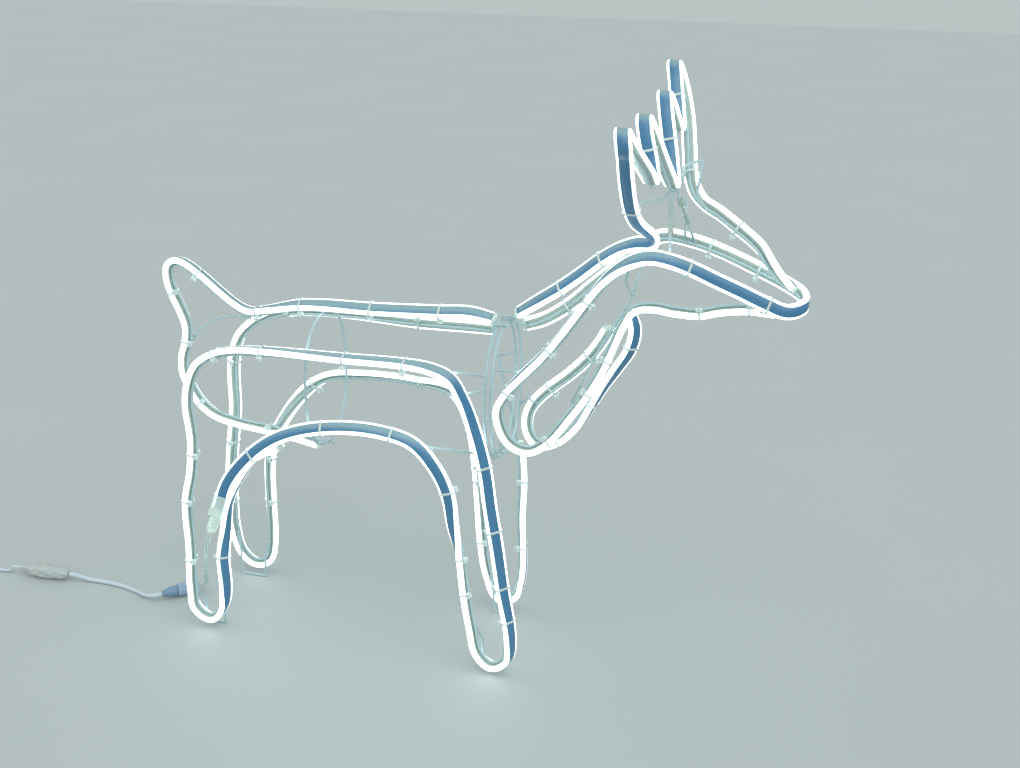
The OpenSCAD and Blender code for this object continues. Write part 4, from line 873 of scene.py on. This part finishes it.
NEAR_TIES = [2, 4.5, 6.3, 9, 11, 12, 17.4, 18, 19.4, 21, 26, 27, 28, 30, 34.5, 36, 37.3, 43]
FAR_TIES = [2, 4, 8, 10, 12, 18, 19.5, 23, 26, 29, 30.5, 32, 36.5, 38]
BACK_TIES = [3, 4, 6, 7.5, 11, 16, 19, 23, 26]
FACE_TIES = [2, 4, 7.7, 9, 15, 18, 24, 25.5, 28, 33, 35, 36.5, 42, 44]
THROAT_TIES = [2, 5, 7, 13, 15]
CROWN_TIES = [2, 4, 10, nape_end + 5.5, nape_end + 11.5, nape_end + 17.5, brow_row + 2, brow_row + 6]
for name, body, groups in [
    ("body_ties", "body", [(near_side, NEAR_TIES), (far_side, FAR_TIES), (back, BACK_TIES)]),
    ("head_ties", "head", [(face, FACE_TIES), (throat, THROAT_TIES), (crown, CROWN_TIES)]),
]:
    bm = bmesh.new()
    for route, marks in groups:
        for v in marks:
            add_tie(bm, route.stop(v))
    make_piece(name + "_nylon", bm, [NYLON], body, [name])
    print(name, sum(len(marks) for _, marks in groups))

# %% [markdown]
# ## End plugs
# Where a strip is cut, a clear plug closes it. It has the strip's own outline and a rounded end. A bevel
# could round a straight prism, but its width is one for the whole edge, and here the end domes. So the plug
# is a few rings over some millimetres, and the last ones are drawn in.

# %% Plugs
CAP_L = 3.0
# Each pair: how far along the plug, and how much of the outline's half thickness is left there.
CAP_DRAW = [(0.0, 1.0), (0.55, 1.0), (0.8, 0.97), (0.95, 0.9), (1.0, 0.8)]


def strip_outline():
    right = edge_outline(1)[2:]
    return right + [(-u, v) for u, v in reversed(right)]


def add_plug(bm, stop, way):
    place, along, facing = stop
    wide = np.cross(along, facing)
    skin = []
    for share, draw in CAP_DRAW:
        middle = place + along * way * (SEAT_GAP + CAP_L * share)
        ring = []
        for u, v in strip_outline():
            reach = math.hypot(u, v)
            k = (reach - (1 - draw) * STRIP_HALF_T) / reach
            ring.append(bm.verts.new((middle + wide * u * k + facing * v * k) * MM))
        skin.append(ring)
    skin_over(bm, skin)


for name, body, ends in [
    ("body_caps", "body", [(near_side, near_side.last, 1), (far_side, 0, -1), (far_side, far_end, 1),
                           (back, 1, -1), (back, back_end, 1)]),
    ("head_caps", "head", [(r, v, w) for r in (face, throat, crown) for v, w in ((0, -1), (r.last, 1))]),
]:
    bm = bmesh.new()
    for route, v, way in ends:
        add_plug(bm, route.stop(v), way)
    make_piece(name + "_plugs", bm, [LIT_CLEAR], body, [name])
    print(name, len(ends))

# %% [markdown]
# ## Hoops, links and feet
# Plain bent wire joins the panels: ovals across the body, straight links, staples for feet and hooks for
# the head. A curve object with a bevel would do for one wire; a path of straight runs with round bends,
# swept with a circle, lets several wires share one piece. A bead of paint over a weld sits where a wire
# ends on another, because a bare butt joint is what gives a computer model away.

# %% Wire tools
BEAD_D, LEAST_SINE = LINK_D + 0.9, 0.3


def bead(bm, place):
    """A small painted weld."""
    ball = bmesh.ops.create_uvsphere(bm, u_segments=10, v_segments=7, radius=BEAD_D / 2 * MM)["verts"]
    bmesh.ops.translate(bm, verts=ball, vec=Vector(place * MM))
    for v in ball:
        for f in v.link_faces:
            f.smooth = True


def bent_wire(bm, corners, radius=4.0, beads=(True, True)):
    path = rounded(corners, radius, closed=False, steps=6)
    swept(bm, carried(path), circle(LINK_D))
    for end, wanted in zip((path[0], path[-1]), beads):
        if wanted:
            bead(bm, end)


def trim(u, along):
    """How far a wire that comes in along u stops from the middle of another wire."""
    sine, cosine = np.linalg.norm(np.cross(u, along)), abs(float(u @ along))
    return (WIRE_D / 2 + LINK_D / 2 * cosine) / max(sine, LEAST_SINE) + SEAT_GAP


def short_of(wire, start):
    u = unit(wire[0] - start)
    return wire[0] - u * trim(u, wire[1])


def link(bm, a, b):
    """A straight wire between two wires, each given as place and heading."""
    bent_wire(bm, [short_of(a, b[0]), short_of(b, a[0])])


def wires(name, body, fill, *what):
    """Makes one piece of painted wire; fill(bm, *what) adds what is in it."""
    bm = bmesh.new()
    fill(bm, *what)
    make_piece(name + "_painted", bm, [SHADED_WIRE_PAINT], body, [name])


print("wire tools ready")

# %% Hoops
HOOP_W, HOOP_H, HOOP_GAP, OVAL = 114.0, 138.0, 6.0, 2.4
HOOP_LIFT, HOOP_SLACK = 0.9, 1.0
HOOP_STEP = 3  # degrees
MID_HOOP_X, CHEST_X = -47, 143
NECK_X = CHEST_X + HOOP_GAP
back_wire_z, belly_wire_z = BACK_ROWS[5][2] - WIRE_OFF, BACK_ROWS[back_end + 1][2] + WIRE_OFF
mid_oval = (MID_HOOP_X, (back_wire_z + belly_wire_z) / 2, 2 * (SIDE_Y - WIRE_OFF - WELD),
            back_wire_z - belly_wire_z - 2 * WELD - HOOP_SLACK)
chest_top = BACK_ROWS[0][2] - WIRE_OFF + WELD + HOOP_LIFT
chest_z = chest_top - HOOP_H / 2
chest_oval, neck_oval = (CHEST_X, chest_z, HOOP_W, HOOP_H), (NECK_X, chest_z, HOOP_W, HOOP_H)


def hoop_point(hoop, degrees):
    x, middle, width, height = hoop
    a = math.radians(degrees)
    return point(x, width / 2 * signed_power(math.cos(a), 2 / OVAL),
                 middle + height / 2 * signed_power(math.sin(a), 2 / OVAL))


def hoop_stop(hoop, degrees):
    return hoop_point(hoop, degrees), unit(hoop_point(hoop, degrees + 1) - hoop_point(hoop, degrees - 1))


def hoop_level(hoop, z):
    share = (z - hoop[1]) / (hoop[3] / 2)
    return hoop_stop(hoop, math.degrees(math.asin(signed_power(share, OVAL / 2))))


def add_hoop(bm, hoop):
    stops = [hoop_stop(hoop, HOOP_STEP * (k + 0.5)) for k in range(360 // HOOP_STEP)]
    swept(bm, [(p, t, np.cross(t, [1.0, 0.0, 0.0])) for p, t in stops], circle(WIRE_D), closed=True)


for name, body, hoop in [("mid_hoop", "body", mid_oval), ("chest_hoop", "body", chest_oval),
                         ("neck_hoop", "head", neck_oval)]:
    wires(name, body, add_hoop, hoop)
print("hoops", round(mid_oval[2]), round(chest_oval[2]), "mm wide")


# %% Links of the body
def edge_link(bm, hoop, route, v):
    """From a hoop round the inner edge of a strip to the wire behind it."""
    place, along, facing = route.stop(v)
    wide = np.cross(along, facing)
    inward = wide * (-1 if wide[1] * place[1] > 0 else 1)
    wire = place - facing * WIRE_OFF
    turn = place + inward * (STRIP_W / 2 + LINK_D / 2 + 9 * SEAT_GAP)
    bent_wire(bm, [short_of(hoop, turn), turn, turn - facing * WIRE_OFF, wire + inward * BESIDE], radius=2.0)


def tail_brace(bm):
    top, low = back.wire(8)[0], back.wire(19)[0]
    bent_wire(bm, [top - up * BESIDE, point(-152, 0, 346), point(-172, 0, 340), point(-190, 0, 328),
                   low + [WELD, 0, 4]])


def shoulder_links(bm):
    edge_link(bm, hoop_stop(chest_oval, 156), near_side, 24)
    edge_link(bm, hoop_stop(chest_oval, 168), near_side, 23)
    link(bm, far_side.wire(far_end + 3), hoop_stop(chest_oval, 12))


CHEST_LOW = 242  # degrees round the hoop
STRUT_SHARE = 0.25
arch_near, arch_far = near_side.wire(7), far_side.wire(27.3)
low_near, low_far = hoop_stop(chest_oval, CHEST_LOW), hoop_stop(chest_oval, 180 - CHEST_LOW)


def arch_links(bm):
    link(bm, arch_near, low_near)
    link(bm, arch_far, low_far)


def arch_struts(bm):
    for arch, low, wire in [(arch_near, low_near, near_side.wire(8)), (arch_far, low_far, far_side.wire(28))]:
        way = low[0] - arch[0]
        link(bm, (arch[0] + way * STRUT_SHARE, unit(way)), wire)


for name, fill in [("tail_brace", tail_brace), ("shoulder_links", shoulder_links), ("arch_links", arch_links),
                   ("arch_struts", arch_struts)]:
    wires(name, "body", fill)
print("body links done")

# %% Feet
FOOT_IN, FOOT_STEP, FOOT_NECK, FOOT_DROP = 5.0, 1.0, 5.0, 17.0


def foot(route, i, k):
    """A staple on the inside of a leg; its floor bar is what the deer stands on."""
    a, b = route.wire(i)[0], route.wire(k)[0]
    side = math.copysign(1, a[1])
    y = side * (SIDE_Y - STRIP_W / 2 - LINK_D / 2 - 4 * SEAT_GAP)
    low = LINK_D / 2
    xa, xb = a[0] + FOOT_IN, b[0] - FOOT_IN
    a, b = a - [0, side * BESIDE, 0], b - [0, side * BESIDE, 0]
    return [a, a + [FOOT_STEP, 0, -FOOT_NECK], (xa, y, a[2] - FOOT_DROP), (xa, y, low),
            (xb, y, low), (xb, y, b[2] - FOOT_DROP), b - [FOOT_STEP, 0, FOOT_NECK], b]


for name, route, i, k in [("near_rear_foot", near_side, 38, 42), ("near_front_foot", near_side, 13, 17),
                          ("far_rear_foot", far_side, 13, 17), ("far_front_foot", far_side, 33, 36)]:
    wires(name, "body", bent_wire, foot(route, i, k), 3.0)
print("feet done")

# %% [markdown]
# ## The head's wires
# The head section has its own hoop and hangs on the chest hoop by hooks. Inside the head a brace runs up
# the throat, posts with clear sleeves carry the antlers, a bar crosses between them and a staple stands
# up on the forehead. Their ends could be typed as points too, but they are taken from the routes they are
# welded to, so a wire stays seated when a route moves.

# %% Hooks and neck links
HOOK_PLAY, HOOK_Y, HOOK_DROP, HOOK_AHEAD, HOOK_RAISE = 0.3, 13, 7, 4, 1.2


def hooks(bm, z):
    """A pair of hooks from the neck hoop over the chest hoop, whose wire is at height z."""
    over = z + (WIRE_D + LINK_D) / 2 + HOOK_PLAY
    behind = CHEST_X - (WIRE_D + LINK_D) / 2 - 2 * HOOK_PLAY
    for y in (-HOOK_Y, HOOK_Y):
        bent_wire(bm, [point(NECK_X + HOOK_AHEAD, y, over), point(behind, y, over),
                       point(behind, y, z - HOOK_DROP)], radius=2.0, beads=(True, False))


def end_link(bm, hoop, wire):
    bent_wire(bm, [short_of(hoop, wire[0]), wire[0] - unit(wire[0] - hoop[0]) * 5 * SEAT_GAP])


def neck_links(bm):
    edge_link(bm, hoop_stop(neck_oval, 150), face, 27)
    edge_link(bm, hoop_stop(neck_oval, 232), face, 31)
    edge_link(bm, hoop_level(neck_oval, THROAT_ROWS[12][2] - 11.5), throat, 11.9)
    end_link(bm, hoop_stop(neck_oval, 84), crown.wire(0))
    end_link(bm, hoop_stop(neck_oval, 72), face.wire(0))


wires("top_hook", "head", hooks, chest_top)
wires("bottom_hook", "head", hooks, chest_z - HOOP_H / 2 + HOOK_RAISE)
wires("neck_links", "head", neck_links)
print("hooks done")

# %% Braces, posts, bar and staple
throat_top, bar_middle = point(274, -3, 408), point(297, 0, 503)
valley = crown.wire(low_row)


def throat_brace(bm):
    poll, low = face.wire(21.5), face.wire(34)
    top_bend, low_bend = point(270, -22, 428), point(245, -10, 354)
    low_end = short_of(low, low_bend)
    bent_wire(bm, [short_of(poll, top_bend), top_bend, throat_top, low_bend,
                   low_end + unit(low_bend - low_end) * 20 * SEAT_GAP])


def head_braces(bm):
    far_poll, far_cheek = face.wire(5.4), face.wire(6.85)
    bent_wire(bm, [short_of(far_poll, throat_top), throat_top + unit(far_poll[0] - throat_top) * LINK_D])
    bent_wire(bm, [point(315, 33, 499), far_cheek[0] - [0, BESIDE, 0]], beads=(False, True))


def antler_posts(bm):
    link(bm, face.wire(19), (valley[0] + [0, -3, 0], valley[1]))
    link(bm, face.wire(7.2), (valley[0] + [3, 4, 0], valley[1]))


def antler_bar(bm):
    near_end, far_tip = crown.wire(10)[0], crown.wire(brow_row + 2)[0]
    bent_wire(bm, [near_end + np.array([1, 2, 0]) * 1.4, (near_end + bar_middle) / 2 + up * 2, bar_middle,
                   (far_tip + bar_middle) / 2, far_tip - np.array([1, 2, 0]) * 1.5])


def forehead_staple(bm):
    brow = crown.wire(brow_row + 5)[0]
    front = antler_row(18, antler_height(30), 0, 1)[0] + STRIP_W / 2
    posts = [(-3, 20, 500), (1, 20, 514), (6, 19, 529), (9, 19, 532),
             (22, 18, 538), (25, 18, 536), (24, 17, 526), (21, 15, 508)]
    bent_wire(bm, [*[point(front + x, y, z) for x, y, z in posts], brow + [-9, -6, 6], brow - [1.8, 1.8, 0]],
              beads=(False, True))


for name, fill in [("throat_brace", throat_brace), ("head_braces", head_braces),
                   ("antler_posts", antler_posts), ("antler_bar", antler_bar),
                   ("forehead_staple", forehead_staple)]:
    wires(name, "head", fill)
print("head wires done")

# %% [markdown]
# ## Moulded pieces kept from the solids
# The lead's cap, the sockets, the plug, the lock ring, the sleeves, the coil's tie and the adapter have
# their right shape already. They could be modelled again, but they only need eased edges and a finish.
# Welding the imported corners first lets the bevel find real edges.

# %% Moulded pieces
SAME_CORNER, SHARP = 0.00001, math.radians(40)


def ease_edges(name, material, width):
    """Rounds a solid's sharp edges with modifiers and gives it a finish."""
    solid = nodes[name]
    join = solid.modifiers.new("join corners", "WELD")
    join.merge_threshold = SAME_CORNER
    bevel = solid.modifiers.new("ease edges", "BEVEL")
    bevel.width = width * MM
    bevel.segments = 3
    bevel.limit_method = "ANGLE"
    bevel.angle_limit = SHARP
    solid.data.materials.clear()
    solid.data.materials.append(material)


for name, material, width in [
    ("lead_cap", LIT_CLEAR, 0.4), ("lead_socket", LIT_CLEAR, 0.3), ("antler_sleeves", CLEAR, 0.2),
    ("inline_socket", NUT, 0.5), ("lock_ring", NUT, 0.3), ("inline_plug", PLUG, 0.5),
    ("coil_tie", NYLON, 0.2), ("adapter", SHELL, 0.8), ("adapter_blades", BLADE, 0.3),
]:
    ease_edges(name, material, width)
shown = [n for n, solid in nodes.items() if not solid.hide_render]
print("solids shown", shown)

# %% [markdown]
# ## Floor, light and world
# The object glows, so the studio stays calm: a pale floor, a pale surround of the same tone and two soft
# lamps. Area lamps would leave a bright pool round the deer, so these are wide suns, which light the
# whole floor evenly. Together they give the level at which a colour looks as it is written.

# %% Stage
FLOOR_HALF, SUN_SPREAD = 6.0, math.radians(70)
FLOOR_TONE, FLOOR_OTHER = (0.50, 0.55, 0.55), (0.48, 0.53, 0.53)
bm = bmesh.new()
bmesh.ops.create_grid(bm, x_segments=1, y_segments=1, size=FLOOR_HALF)
floor_mesh = bpy.data.meshes.new("floor")
bm.to_mesh(floor_mesh)
bm.free()
floor_mesh.materials.append(finish("floor_paint", FLOOR_TONE, FLOOR_OTHER, 3, (0.45, 0.5), 0.02))
floor = add_object("floor", floor_mesh)

world = bpy.data.worlds.new("studio")
bpy.context.scene.world = world
world.use_nodes = True
background = world.node_tree.nodes["Background"]
background.inputs["Color"].default_value = (*FLOOR_TONE, 1)
background.inputs["Strength"].default_value = 1.0


def soft_sun(name, from_where, strength):
    lamp = add_object(name, bpy.data.lights.new(name, "SUN"))
    lamp.data.energy = strength
    lamp.data.angle = SUN_SPREAD
    lamp.rotation_mode = "QUATERNION"
    lamp.rotation_quaternion = (-Vector(from_where)).to_track_quat("-Z", "Y")


soft_sun("key", (1.2, -1.8, 2.4), 1.3)
soft_sun("fill", (-1.8, -0.8, 1.6), 0.45)
bpy.context.scene.view_settings.view_transform = "Standard"
print("stage set")
